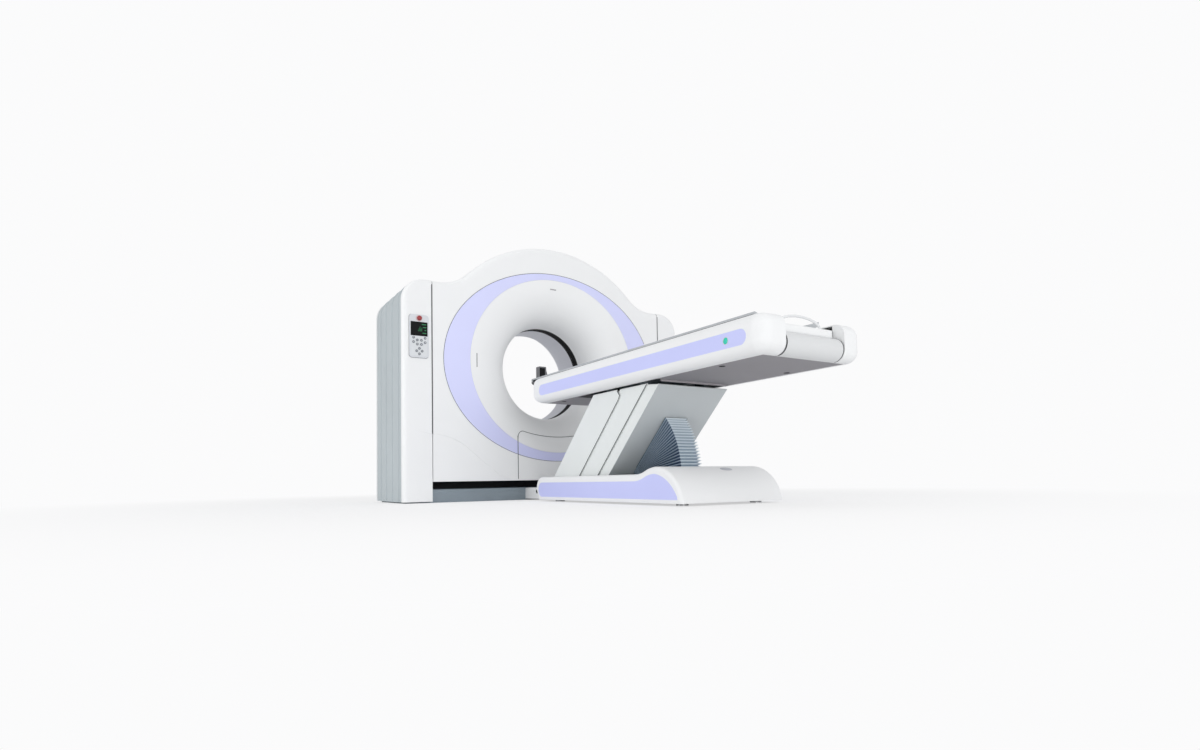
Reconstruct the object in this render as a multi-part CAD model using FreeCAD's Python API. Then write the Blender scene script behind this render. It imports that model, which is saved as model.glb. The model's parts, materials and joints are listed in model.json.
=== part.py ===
"""Hospital CT scanner: a tilting gantry between two fixed side columns, and a patient table
on a leaning parallelogram arm with a fan bellows.

Millimetres. +Z is up, +Y runs from the table through the bore, +X is to the right as seen
from the table. The origin is on the floor, straight below the isocentre, where the bore axis
meets the scan plane.
"""
import FreeCAD, Part
import math
import os

V = FreeCAD.Vector

# ---------------------------------------------------------------- driving dimensions
# isocentre and bore
ISO_Z = 950.0
BORE_R = 350.0
WINDOW_HALF = 25.0            # half the width of the dark window band
THROAT_Y = -80.0              # where the front funnel becomes the bore
REAR_THROAT_Y = 251.0         # where the bore starts to flare at the back
REAR_FLARE = 100.0            # how much wider the bore is at the rear face
LINER_WALL = 5.0
LINER_SIDES = 72              # flat sides that stand in for the round liners

# gantry shell
FRONT_Y = -303.0
REAR_Y = 370.0
TILT_HALF = 930.0             # half width of the tilting part
SIDE_SEAM = 5.0               # gap between the tilting part and a column
COLUMN_WIDTH = 195.0
COLUMN_CORNER_R = 150.0       # rounding of a column's outer top edge
SHOULDER_Z = 1480.0
ARCH_TOP_Z = 1845.0
ARCH_R = TILT_HALF + 19.0
SHOULDER_FLAT = 47.65         # level stretch between the outer edge and the hollow blend
TILT_BOTTOM_Z = 139.0
EDGE_R = 38.0                 # soft front edge of the arch and shoulders
SHELL = 6.0                   # wall of the moulded covers
COVER_SEAM = 0.8
COLUMN_BOTTOM_Z = 9.0
TAIL_RISE_Y = 190.0           # the tilting part's underside starts to rise here
TAIL_RISE = 75.0
CREASE_DEPTH = 5.0
COLUMN_WALL = 5.0
COLUMN_REAR_Y = 352.0
COLUMN_FRONT_DEPTH = 38.0     # depth of a column's white front piece
RIB_HEIGHT = 5.0              # ribs of the grey side panels

# coloured ring and funnel
LIP_R = BORE_R + 255.0          # where the round lip of the funnel leaves the front face
RING_IN_X, RING_IN_Z = LIP_R + 64.0, LIP_R + 31.0
RING_OUT_X, RING_OUT_Z = TILT_HALF - 72.0, RING_IN_Z + 54.0
RING_OUT_RISE, RING_IN_RISE = 13.0, 23.0
LIP_STEPS = 7                 # straight steps that make up the round lip
TRIM_GAP = 0.8
LENS_GAP = 0.3
SERVICE_HALF = 320.0
SERVICE_TOP_Z = 492.0
SERVICE_DIP = 37.0
SERVICE_CORNER_R = 45.0

# rotating part
ROTOR_R = 690.0
ROTOR_BORE_R = 385.0
ROTOR_FRONT_Y = 90.0
ROTOR_DISC = 28.0
HUB_R = 500.0
BEARING_R = HUB_R + 60.0
FRAME_Y0, FRAME_Y1 = 130.0, 190.0
BEARING_Y0, BEARING_Y1 = 128.0, 188.0
RUNNING = 0.05
FOCUS_R = 535.0
DETECTOR_R = FOCUS_R + BORE_R + 55.0
FAN_HALF = 25.0
BELT_THICK = 6.0
BELT_WIDTH = 22.0
PULLEY_R = 60.0
PULLEY_X, PULLEY_Z = -680.0, 360.0
PULLEY_SHAFT_R = 15.0
BODY_GAP = 0.3                # between curved faces of different moving bodies

# tilt drive
TRUNNION_R = 45.0
TRUNNION_END_X = TILT_HALF + 120.0
STAND_X = TILT_HALF + 55.0
STAND_THICK = 50.0
GEAR_MODULE = 8.0
SECTOR_TEETH = 60
PINION_TEETH = 18
GEAR_FACE = 24.0
GEAR_X = TILT_HALF + 20.0
PINION_SHAFT_R = 20.0
BACKLASH = 0.5
PRESSURE_ANGLE = 20.0

# gantry base
BASE_FRONT_Y = -250.0
BASE_REAR_Y = 340.0
BASE_HALF = TILT_HALF + SIDE_SEAM + COLUMN_WIDTH - 30.0
BASE_PLATE_Z = 60.0
SKIRT_Z = 87.0
ANCHOR_R = 9.0
ANCHOR_X, ANCHOR_Y = BASE_HALF - 40.0, 200.0
ANCHOR_MID_Y = 45.0

# control panel on the left column
PANEL_X = -(TILT_HALF + SIDE_SEAM + 89.0)
PANEL_WIDTH = 128.0
PANEL_BOTTOM_Z, PANEL_TOP_Z = 950.0, 1232.0
PANEL_THICK = 10.0
KEY_R = 8.5
KEY_PROUD = 4.0
DISPLAY_Z0, DISPLAY_Z1 = 1092.0, 1185.0
STOP_R = 15.0
STOP_STEM_R = 6.0
STOP_Z = 1208.0
STOP_TRAVEL = 5.0

# table arm
LIFT_ANGLE = 43.5             # angle of the arm above the floor at rest
LINK_LENGTH = 712.0
PIVOT_PITCH = 350.0
PIVOT_Y = -798.0              # front lower pivot
PIVOT_Z = 110.0
COVER_OUT = 100.0             # arm covers stand this far off the link lines
ARM_HALF = 250.0              # half width of the arm covers
SHEET = 4.0
PIN_R = 15.0
LINK_HALF_DEPTH = 28.0
LINK_X0, LINK_X1 = 150.0, 185.0
LUG_X0, LUG_X1 = 188.0, 206.0
ARM_TOP_Z = 640.0             # top edge of the arm covers at rest
MID_PIN_R = 10.0

# lifting actuator
FOOT_Y, FOOT_Z = -1790.0, 80.0
FOOT_PIN_R = 10.0
ROD_END_U = 250.0             # the actuator's pin sits this far up the rear link
ROD_PIN_R = 15.0
ROD_R = 18.0
EYE_PLAY = 15.0
ROD_START = 243.0             # inner end of the rod, measured from the actuator's foot

# table top
TABLE_HALF = 330.0
RAIL_WIDTH = 145.0
TABLE_BOTTOM_Z = 650.0
TABLE_TOP_Z = 825.0
RAIL_R = 55.0
TABLE_FRONT_Y = -580.0
TABLE_REAR_Y = -2655.0
END_COVER_TOP_Z = 757.0
RAIL_WALL = 5.0
RAIL_INLAY = 2.0
UNDER_HALF = TABLE_HALF - 68.0
BEAM_Z, DECK_Z, STRIP_Z = 690.0, 742.0, 757.0
DECK_REAR_Y = TABLE_REAR_Y + (END_COVER_TOP_Z - TABLE_BOTTOM_Z) / 2 + 11.5
DECK_FRONT_Y = TABLE_FRONT_Y - 60.0
APRON_Z = 88.0                # lower edge of the dark apron under the tilting part

# cradle
CRADLE_HALF = 210.0
CRADLE_RIM_Z = 862.0
CRADLE_SAG = 40.0
CRADLE_THICK = 22.0
CRADLE_FRONT_Y = -262.0
CRADLE_REAR_Y = -2500.0
TAIL_LENGTH = 100.0

# table base
TBASE_HALF = 343.0
TBASE_NOSE_Y = -690.0
TBASE_NOSE_R = 70.0
TBASE_TOP_Z = 158.0
TBASE_BOTTOM_Z = 12.0
HUMP_Z = 194.0
HUMP_Y = -1920.0
HUMP_RUN = 182.0
TBASE_REAR_Y = -2133.0
STRIPE_DEPTH = 3.0
TBASE_EDGE_R = 18.0
TBASE_STRIPE_LOW, TBASE_STRIPE_TOP = 30.0, 122.0
BASE_WALL = 5.0
OPENING_HALF = ARM_HALF + 6.0          # opening for the arm in the base and in the table's underside
SLOT_HALF = 60.0
FRAME_LOW_Z = 14.0

# fan bellows
BELLOWS_Y, BELLOWS_Z = -1351.0, 160.5   # hinge line of the fan
BELLOWS_R0 = 20.0
BELLOWS_WALL = 3.0
BELLOWS_HIGH, BELLOWS_LOW = 43.0, 2.0   # angles of the first and last frame
BELLOWS_R = 452.0
BELLOWS_HALF = 75.0
BELLOWS_PLEATS = 18
PLEAT_DEPTH = 18.0


# ---------------------------------------------------------------- drawing helpers
def box(x0, x1, y0, y1, z0, z1):
    return Part.makeBox(x1 - x0, y1 - y0, z1 - z0, V(x0, y0, z0))


def rod_x(x0, x1, y, z, r):
    return Part.makeCylinder(r, x1 - x0, V(x0, y, z), V(1, 0, 0))


def rod_y(y0, y1, x, z, r):
    return Part.makeCylinder(r, y1 - y0, V(x, y0, z), V(0, 1, 0))


def rod_z(z0, z1, x, y, r):
    return Part.makeCylinder(r, z1 - z0, V(x, y, z0), V(0, 0, 1))


def line(a, b):
    return Part.LineSegment(a, b).toShape()


def arc(a, b, c):
    return Part.Arc(a, b, c).toShape()


def polar(centre_a, centre_b, r, degrees):
    turn = math.radians(degrees)
    return centre_a + r * math.cos(turn), centre_b + r * math.sin(turn)


def flat_face(corners):
    return Part.Face(Part.makePolygon(corners + corners[:1]))


def slab_x(points, x0, x1):
    """Flat plate drawn in the YZ plane."""
    corners = [V(x0, y, z) for y, z in points]
    return Part.Face(Part.makePolygon(corners + corners[:1])).extrude(V(x1 - x0, 0, 0))


def slab_y(points, y0, y1):
    """Flat plate drawn in the XZ plane."""
    corners = [V(x, y0, z) for x, z in points]
    return Part.Face(Part.makePolygon(corners + corners[:1])).extrude(V(0, y1 - y0, 0))


def slab_z(points, z0, z1):
    """Flat plate drawn in the XY plane."""
    corners = [V(x, y, z0) for x, y in points]
    return Part.Face(Part.makePolygon(corners + corners[:1])).extrude(V(0, 0, z1 - z0))


def mirror_x(shape):
    return shape.mirror(V(0, 0, 0), V(1, 0, 0))


def both_sides(shape):
    return shape.fuse(mirror_x(shape))


def ring_y(profile):
    """Turns a closed (radius, y) outline round the bore axis."""
    corners = [V(r, y, ISO_Z) for r, y in profile]
    face = Part.Face(Part.makePolygon(corners + corners[:1]))
    return face.revolve(V(0, 0, ISO_Z), V(0, 1, 0), 360)


def sided_ring_y(profile):
    """The same ring, with LINER_SIDES flat sides in place of each round face."""
    turns = [360.0 * i / LINER_SIDES for i in range(LINER_SIDES + 1)]
    faces = []
    for (r0, y0), (r1, y1) in zip(profile, profile[1:] + profile[:1]):
        rims = []
        for r, y in ((r0, y0), (r1, y1)):
            rims.append([V(x, y, z) for x, z in (polar(0, ISO_Z, r, a) for a in turns)])
        for k in range(LINER_SIDES):
            faces.append(flat_face([rims[0][k], rims[0][k + 1], rims[1][k + 1], rims[1][k]]))
    return Part.Solid(Part.Shell(faces))


def soften(shape, radius, wanted):
    edges = [e for e in shape.Edges if wanted(e)]
    return shape.makeFillet(radius, edges)


def slant(shape, size, wanted):
    edges = [e for e in shape.Edges if wanted(e)]
    return shape.makeChamfer(size, edges)


def rounded_slab_y(x0, x1, z0, z1, y0, y1, radius):
    block = box(x0, x1, y0, y1, z0, z1)
    return soften(block, radius, lambda e: abs(e.tangentAt(e.FirstParameter).y) > 0.99)


# ---------------------------------------------------------------- gantry shells
def arch_wire(inset, y):
    """Front outline of the tilting part: flat shoulders, hollow blends and the round arch."""
    half, bottom, shoulder = TILT_HALF - inset, TILT_BOTTOM_Z + inset, SHOULDER_Z - inset
    arch_z, blend_x = ARCH_TOP_Z - ARCH_R, TILT_HALF - SHOULDER_FLAT
    climb = SHOULDER_Z - arch_z
    blend_r = (blend_x ** 2 + climb ** 2 - ARCH_R ** 2) / (2 * (ARCH_R - climb)) + inset
    arch_r, blend_z = ARCH_R - inset, shoulder + blend_r
    share = arch_r / (arch_r + blend_r)
    join_x, join_z = blend_x * share, arch_z + (blend_z - arch_z) * share
    middle = (math.degrees(math.atan2(join_z - blend_z, join_x - blend_x)) - 90.0) / 2
    mid_x, mid_z = polar(blend_x, blend_z, blend_r, middle)
    edges = [
        line(V(-half, y, bottom), V(half, y, bottom)),
        line(V(half, y, bottom), V(half, y, shoulder)),
        line(V(half, y, shoulder), V(blend_x, y, shoulder)),
        arc(V(blend_x, y, shoulder), V(mid_x, y, mid_z), V(join_x, y, join_z)),
        arc(V(join_x, y, join_z), V(0, y, arch_z + arch_r), V(-join_x, y, join_z)),
        arc(V(-join_x, y, join_z), V(-mid_x, y, mid_z), V(-blend_x, y, shoulder)),
        line(V(-blend_x, y, shoulder), V(-half, y, shoulder)),
        line(V(-half, y, shoulder), V(-half, y, bottom)),
    ]
    return Part.Wire(edges)


def arch_top_edges(block, y_face, inset):
    low = SHOULDER_Z - inset - 1.0
    edges = []
    for e in block.Edges:
        if all(abs(v.Y - y_face) < 0.01 and v.Z > low for v in e.Vertexes):
            edges.append(e)
    return edges


def arch_block(y_face, y_back, inset):
    return Part.Face(arch_wire(inset, y_face)).extrude(V(0, y_back - y_face, 0))


def arch_rounded(y_face, y_back):
    """Solid block with the arch outline, round along the top edge at y_face."""
    block = arch_block(y_face, y_back, 0)
    return block.makeFillet(EDGE_R, arch_top_edges(block, y_face, 0))


def arch_slanted(y_face, y_back, inset):
    """The same block with a plain slant along that edge."""
    block = arch_block(y_face, y_back, inset)
    return block.makeChamfer(0.6 * EDGE_R, arch_top_edges(block, y_face, inset))


def ellipse_wire(a, b, rise, y):
    centre = V(0, y, ISO_Z + rise)
    curve = Part.Ellipse(centre + V(a, 0, 0), centre + V(0, 0, b), centre)
    return Part.Wire([curve.toShape()])


def ellipse_slab(a, b, rise, y0, y1):
    return Part.Face(ellipse_wire(a, b, rise, y0)).extrude(V(0, y1 - y0, 0))


def funnel_section():
    """Cut through the round lip and the short tube behind it, in (radius, y). The lip is a
    quarter of an ellipse in short straight steps, flush with the front face and the bore."""
    width, depth = LIP_R - BORE_R, THROAT_Y - FRONT_Y
    lip = []
    for i in range(LIP_STEPS + 1):
        turn = math.radians(90 * i / LIP_STEPS)
        lip.append((LIP_R - width * math.sin(turn), THROAT_Y - depth * math.cos(turn)))
    half = math.sqrt(0.5)
    middle = (LIP_R - (width - SHELL) * half, THROAT_Y - (depth - SHELL) * half)
    tube, out = -WINDOW_HALF, BORE_R + SHELL
    return lip + [(BORE_R, tube), (out, tube), (out, THROAT_Y), middle, (LIP_R, FRONT_Y + SHELL)]


def funnel_full():
    """White funnel: flat oval margin, round lip, short tube and a flange behind the ring."""
    back = FRONT_Y + SHELL
    rolled = ring_y(funnel_section())
    margin = ellipse_slab(RING_IN_X - TRIM_GAP, RING_IN_Z - TRIM_GAP, RING_IN_RISE, FRONT_Y, back)
    flange = ellipse_slab(RING_OUT_X + 20, RING_OUT_Z + 20, RING_OUT_RISE, back, back + 4)
    plates = margin.fuse(flange).cut(rod_y(FRONT_Y - 1, 0, 0, ISO_Z, LIP_R))
    return rolled.fuse(plates).removeSplitter()


def ring_full():
    outer = ellipse_slab(RING_OUT_X, RING_OUT_Z, RING_OUT_RISE, FRONT_Y, FRONT_Y + SHELL)
    return outer.cut(ellipse_slab(RING_IN_X, RING_IN_Z, RING_IN_RISE, FRONT_Y - 1, 0))


def service_prism(inset):
    """Space of the removable panel at the foot of the gantry; its top edge dips in the middle."""
    half, top, r = SERVICE_HALF - inset, SERVICE_TOP_Z - inset, SERVICE_CORNER_R - inset
    y = FRONT_Y - 1
    near = r * (1 - math.sqrt(0.5))
    edges = [
        line(V(-half, y, 0), V(-half, y, top - r)),
        arc(V(-half, y, top - r), V(near - half, y, top - near), V(r - half, y, top)),
        arc(V(r - half, y, top), V(0, y, top - SERVICE_DIP), V(half - r, y, top)),
        arc(V(half - r, y, top), V(half - near, y, top - near), V(half, y, top - r)),
        line(V(half, y, top - r), V(half, y, 0)),
        line(V(half, y, 0), V(-half, y, 0)),
    ]
    return Part.Face(Part.Wire(edges)).extrude(V(0, 61, 0))


def crease_prism(y0, y1):
    """Both areas below the two sweeping creases of the front cover."""
    sweep = [(0, 452), (9, 453), (70, 447), (132, 429), (202, 396), (272, 343),
             (344, 282), (424, 220), (498, 171), (574, 142), (595, 130)]
    edge = TILT_HALF + SIDE_SEAM
    spots = [V(edge - x, y0, z) for x, z in sweep]
    curve = Part.BSplineCurve()
    curve.interpolate(spots)
    corner = V(edge, y0, spots[-1].z)
    edges = [curve.toShape(), line(spots[-1], corner), line(corner, spots[0])]
    half = Part.Face(Part.Wire(Part.__sortEdges__(edges))).extrude(V(0, y1 - y0, 0))
    return both_sides(half)


def laser_slots(inset):
    """Slots for the three positioning lights: one above the bore and one on each side."""
    y0, y1 = FRONT_Y - 1, FRONT_Y + 20
    top = box(-45 + inset, 5 - inset, y0, y1, 1536 + inset, 1544 - inset)
    x = LIP_R + 12
    side = box(x + inset, x + 8 - inset, y0, y1, 920 + inset, 1016 - inset)
    return Part.makeCompound([top, side, mirror_x(side)])


def front_cover_full():
    back = FRONT_Y + SHELL
    hollow = arch_slanted(back, 1, SHELL).cut(crease_prism(back, back + CREASE_DEPTH))
    cover = arch_rounded(FRONT_Y, 0).cut(hollow)
    cover = cover.cut(crease_prism(FRONT_Y - 1, FRONT_Y + CREASE_DEPTH))
    opening = ellipse_slab(RING_OUT_X + TRIM_GAP, RING_OUT_Z + TRIM_GAP, RING_OUT_RISE,
                           FRONT_Y - 1, FRONT_Y + SHELL)
    return cover.cut([opening, trunnion_holes()])


def trunnion_holes():
    return rod_x(-TILT_HALF - 10, TILT_HALF + 10, 0, ISO_Z, TRUNNION_R + 15)


def make_front_cover():
    return front_cover_full().cut(service_prism(0))


def make_service_panel():
    whole = front_cover_full().fuse(funnel_full())
    return whole.common(service_prism(COVER_SEAM))


def make_bore_funnel():
    return funnel_full().cut([service_prism(0), laser_slots(0)])


def make_ring_trim():
    """Coloured ring; its lowest stretch is a separate piece that goes with the service panel."""
    ring = ring_full()
    return Part.makeCompound([ring.cut(service_prism(0)), ring.common(service_prism(COVER_SEAM))])


def make_laser_windows():
    return funnel_full().common(laser_slots(LENS_GAP))


def make_window_band():
    y0, y1 = -WINDOW_HALF, WINDOW_HALF
    r0, r1 = BORE_R, BORE_R + LINER_WALL
    return sided_ring_y([(r0, y0), (r1, y0), (r1, y1), (r0, y1)])


def make_rear_bore_liner():
    """Plain tube that opens out in two steps to the rear face, flanged inside the cover."""
    mid_y, mid_r = REAR_THROAT_Y + 0.65 * (REAR_Y - REAR_THROAT_Y), BORE_R + 0.3 * REAR_FLARE
    end_r, wall, behind = BORE_R + REAR_FLARE, LINER_WALL, REAR_Y - SHELL
    inner = [(BORE_R, WINDOW_HALF), (BORE_R, REAR_THROAT_Y), (mid_r, mid_y), (end_r, REAR_Y)]
    outer = [(end_r + wall, REAR_Y), (end_r + wall, behind), (end_r + 25, behind),
             (end_r + 25, behind - wall), (BORE_R + wall, REAR_THROAT_Y), (BORE_R + wall, WINDOW_HALF)]
    return sided_ring_y(inner + outer)


def tail_wedge(lift):
    """Space below the rising underside at the back of the gantry."""
    z = TILT_BOTTOM_Z + lift
    reach = 1.02
    points = [(TAIL_RISE_Y, z), (TAIL_RISE_Y + (REAR_Y - TAIL_RISE_Y) * reach, z + TAIL_RISE * reach)]
    points += [(REAR_Y + 10, z + TAIL_RISE * reach), (REAR_Y + 10, z - 60), (TAIL_RISE_Y, z - 60)]
    return slab_x(points, -TILT_HALF - 1, TILT_HALF + 1)


def make_rear_cover():
    hollow = arch_slanted(REAR_Y - SHELL, 0, SHELL).cut(tail_wedge(SHELL))
    cover = arch_slanted(REAR_Y, COVER_SEAM, 0).cut([hollow, tail_wedge(0), trunnion_holes()])
    slot = box(55 - TILT_HALF, TILT_HALF - 55, FRAME_Y0 - 3, FRAME_Y0 + SHELL + 3, 0, ISO_Z / 2)
    opening = rod_y(REAR_Y - SHELL - 1, REAR_Y + 1, 0, ISO_Z, BORE_R + REAR_FLARE + LINER_WALL + TRIM_GAP)
    return cover.cut([opening, slot])


# ---------------------------------------------------------------- rotating part
def make_rotor_drum():
    y0, y1, y2 = ROTOR_FRONT_Y, ROTOR_FRONT_Y + ROTOR_DISC, BEARING_Y1 + 12
    return ring_y([(ROTOR_BORE_R, y0), (ROTOR_R, y0), (ROTOR_R, y1), (HUB_R, y1), (HUB_R, y2),
                   (HUB_R - 60, y2), (HUB_R - 60, y1), (ROTOR_BORE_R, y1)])


def make_slip_ring():
    y = BEARING_Y1 + 12
    return ring_y([(HUB_R - 60, y), (HUB_R + 15, y), (HUB_R + 15, y + 25), (HUB_R - 60, y + 25)])


def make_xray_tube():
    z = ISO_Z + FOCUS_R + 40
    housing = rod_y(-140, ROTOR_FRONT_Y, 0, z, 90)
    port = box(-45, 45, -30, 30, z - 105, z)
    return housing.fuse([port, box(-110, 110, 40, ROTOR_FRONT_Y, z - 80, z + 70)])


def make_collimator():
    top = ISO_Z + FOCUS_R + 40 - 105
    body = box(-90, 90, -45, ROTOR_FRONT_Y, top - 60, top)
    return body.cut(box(-60, 60, -20, 20, top - 61, top + 1))


def make_detector_arc():
    """Curved row of detectors, struck from the focal spot and hung on the rotor disc."""
    z = ISO_Z + FOCUS_R
    y, outlines = -50, []
    for r in (DETECTOR_R, DETECTOR_R + 60):
        points = [polar(0, z, r, -90 + a) for a in (-FAN_HALF, 0, FAN_HALF)]
        outlines.append([V(x, y, pz) for x, pz in points])
    inner, outer = outlines
    edges = [arc(*inner), line(inner[2], outer[2]), arc(*outer), line(outer[0], inner[0])]
    face = Part.Face(Part.Wire(Part.__sortEdges__(edges)))
    return face.extrude(V(0, ROTOR_FRONT_Y - y, 0))


def make_hv_generator():
    body = box(-640, -430, -150, ROTOR_FRONT_Y, ISO_Z - 150, ISO_Z + 150)
    lid = box(-625, -445, -156, -150, ISO_Z - 135, ISO_Z + 135)
    return body.fuse(lid)


def make_heat_exchanger():
    """Oil cooler opposite the generator: a fin block with two fans' round openings."""
    body = box(430, 640, -150, ROTOR_FRONT_Y, ISO_Z - 150, ISO_Z + 150)
    for z in (ISO_Z - 70, ISO_Z + 70):
        body = body.cut(rod_y(-151, -110, 535, z, 58))
    return body


def belt_outline(extra):
    """Loop round the rotor and the motor pulley, `extra` outside their rims."""
    r0, r1 = ROTOR_R + extra, PULLEY_R + extra
    span = math.hypot(PULLEY_X, PULLEY_Z - ISO_Z)
    lie = math.degrees(math.atan2(PULLEY_Z - ISO_Z, PULLEY_X))
    swing = math.degrees(math.acos((r0 - r1) / span))
    y = ROTOR_FRONT_Y + 2
    big = [polar(0, ISO_Z, r0, lie + a) for a in (swing, 180, 360 - swing)]
    small = [polar(PULLEY_X, PULLEY_Z, r1, lie + a) for a in (-swing, 0, swing)]
    big, small = [V(x, y, z) for x, z in big], [V(x, y, z) for x, z in small]
    edges = [arc(*big), line(big[2], small[0]), arc(*small), line(small[2], big[0])]
    return Part.Face(Part.Wire(edges))


def make_drive_belt():
    inner, outer = belt_outline(BODY_GAP), belt_outline(BODY_GAP + BELT_THICK)
    return outer.cut(inner).extrude(V(0, BELT_WIDTH, 0))


def make_motor_pulley():
    y = ROTOR_FRONT_Y + 2
    wheel = rod_y(y, y + BELT_WIDTH, PULLEY_X, PULLEY_Z, PULLEY_R)
    return wheel.fuse(rod_y(y, FRAME_Y1 + 60, PULLEY_X, PULLEY_Z, PULLEY_SHAFT_R))


def make_rotor_motor():
    body = rod_y(FRAME_Y1, FRAME_Y1 + 130, PULLEY_X, PULLEY_Z, 80)
    foot = box(PULLEY_X - 90, PULLEY_X + 90, FRAME_Y1, FRAME_Y1 + 12, PULLEY_Z - 90, PULLEY_Z + 90)
    shaft = rod_y(FRAME_Y1 - 1, FRAME_Y1 + 62, PULLEY_X, PULLEY_Z, PULLEY_SHAFT_R + RUNNING)
    return body.fuse(foot).cut(shaft)


# ---------------------------------------------------------------- tilting frame
def make_tilt_frame():
    """Cast plate round the bearing, with cheeks, trunnions and arms for the covers."""
    plate = Part.Face(arch_wire(60, FRAME_Y0)).extrude(V(0, FRAME_Y1 - FRAME_Y0, 0))
    cheek = TILT_HALF - 60
    apron = box(-cheek, cheek, FRAME_Y0, FRAME_Y0 + SHELL, APRON_Z, TILT_BOTTOM_Z + 61)
    pieces = [apron]
    for z in (500, 1300):
        pieces.append(box(cheek - 20, cheek, -30, FRAME_Y0 + 1, z - 30, z + 30))
        pieces.append(box(cheek - 20, TILT_HALF - SHELL - LENS_GAP, -30, 30, z - 30, z + 30))
    pieces.append(box(cheek - 30, cheek, -60, FRAME_Y0 + 1, ISO_Z - 90, ISO_Z + 90))
    pieces.append(rod_x(cheek - 1, TRUNNION_END_X, 0, ISO_Z, TRUNNION_R))
    for piece in pieces:
        plate = plate.fuse([piece, mirror_x(piece)])
    bore = rod_y(FRAME_Y0 - 1, FRAME_Y1 + 1, 0, ISO_Z, BEARING_R)
    shaft = rod_y(FRAME_Y0 - 1, FRAME_Y1 + 1, PULLEY_X, PULLEY_Z, PULLEY_SHAFT_R + 5)
    return plate.cut([bore, shaft])


def make_main_bearing():
    r0, r1 = HUB_R + RUNNING, BEARING_R
    return ring_y([(r0, BEARING_Y0), (r1, BEARING_Y0), (r1, BEARING_Y1), (r0, BEARING_Y1)])


def make_brush_block():
    y = FRAME_Y1
    block = box(HUB_R + 5, BEARING_R + 70, y, y + 45, ISO_Z - 60, ISO_Z + 60)
    return block.cut(rod_y(y - 1, y + 46, 0, ISO_Z, HUB_R + 15 + BODY_GAP))


# ---------------------------------------------------------------- tilt drive
def involute(angle):
    return math.tan(angle) - angle


def tooth_points(teeth, centre_angle, centre_z):
    """One involute tooth in the YZ plane, root to tip and back, turning towards +Z."""
    pitch_r = GEAR_MODULE * teeth / 2
    base_r = pitch_r * math.cos(math.radians(PRESSURE_ANGLE))
    root_r, tip_r = pitch_r - 1.25 * GEAR_MODULE, pitch_r + GEAR_MODULE
    pitch_half = (math.pi * GEAR_MODULE / 2 - BACKLASH / 2) / (2 * pitch_r)
    start = max(root_r, base_r)
    flank = []
    for step in range(4):
        r = start + (tip_r - start) * step / 3
        half = pitch_half + involute(math.radians(PRESSURE_ANGLE)) - involute(math.acos(base_r / r))
        flank.append((r, half))
    if root_r < base_r:
        flank.insert(0, (root_r, flank[0][1]))
    sides = [(r, centre_angle - math.degrees(h)) for r, h in flank]
    sides += [(r, centre_angle + math.degrees(h)) for r, h in reversed(flank)]
    return [polar(0, centre_z, r, a) for r, a in sides]


def make_sector_gear():
    step = 360.0 / SECTOR_TEETH
    points = [(0, ISO_Z)]
    for k in range(-8, 9):
        points += tooth_points(SECTOR_TEETH, -90 + k * step, ISO_Z)
    web = slab_x(points, GEAR_X, GEAR_X + GEAR_FACE)
    hub = rod_x(GEAR_X, GEAR_X + GEAR_FACE, 0, ISO_Z, TRUNNION_R + 33)
    shaft = rod_x(GEAR_X - 1, GEAR_X + GEAR_FACE + 1, 0, ISO_Z, TRUNNION_R)
    return web.fuse(hub).cut(shaft)


def pinion_z():
    return ISO_Z - GEAR_MODULE * (SECTOR_TEETH + PINION_TEETH) / 2


def make_tilt_pinion():
    step = 360.0 / PINION_TEETH
    points = []
    for k in range(PINION_TEETH):
        points += tooth_points(PINION_TEETH, 90 + step / 2 + k * step, pinion_z())
    gear = slab_x(points, GEAR_X, GEAR_X + GEAR_FACE)
    shaft = rod_x(GEAR_X, STAND_X + STAND_THICK + 40, 0, pinion_z(), PINION_SHAFT_R)
    return gear.fuse(shaft)


def make_tilt_gearbox():
    x = STAND_X + STAND_THICK
    body = box(x, x + 50, -70, 70, pinion_z() - 75, pinion_z() + 75)
    body = body.fuse(rod_x(x + 49, x + 75, 45, pinion_z(), 30))
    bore = rod_x(x - 1, x + 42, 0, pinion_z(), PINION_SHAFT_R + RUNNING)
    return body.cut(bore)


def side_stand_plate():
    points = [(-200, BASE_PLATE_Z), (290, BASE_PLATE_Z), (290, 120), (70, ISO_Z + 60)]
    points += [(-70, ISO_Z + 60), (-200, 120)]
    plate = slab_x(points, STAND_X, STAND_X + STAND_THICK)
    boss = rod_x(STAND_X - 10, STAND_X + STAND_THICK + 10, 0, ISO_Z, TRUNNION_R + 40)
    bore = rod_x(STAND_X - 20, STAND_X + 80, 0, ISO_Z, TRUNNION_R + RUNNING)
    return plate.fuse(boss).cut(bore)


def make_left_stand():
    return mirror_x(side_stand_plate())


def make_right_stand():
    x0, x1 = STAND_X - 1, STAND_X + STAND_THICK + 1
    return side_stand_plate().cut(rod_x(x0, x1, 0, pinion_z(), PINION_SHAFT_R + 6))


# ---------------------------------------------------------------- side columns
def column_block(inset, y0, y1):
    """Right column's outline with its round outer top corner."""
    x0, x1 = TILT_HALF + SIDE_SEAM + inset, TILT_HALF + SIDE_SEAM + COLUMN_WIDTH - inset
    z0, z1, r = COLUMN_BOTTOM_Z + inset, SHOULDER_Z - inset, COLUMN_CORNER_R - inset
    block = box(x0, x1, y0, y1, z0, z1)

    def corner(e):
        return all(abs(v.X - x1) < 0.01 and abs(v.Z - z1) < 0.01 for v in e.Vertexes)
    return soften(block, r, corner)


def outer_front_edges(y):
    """Picks the edges at the front of a column, along its outer side and its top."""
    def wanted(e):
        on_face = all(abs(v.Y - y) < 0.01 for v in e.Vertexes)
        return on_face and e.BoundBox.XMax > TILT_HALF + SIDE_SEAM + 20 and \
            e.BoundBox.ZMax > COLUMN_BOTTOM_Z + 20
    return wanted


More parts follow.
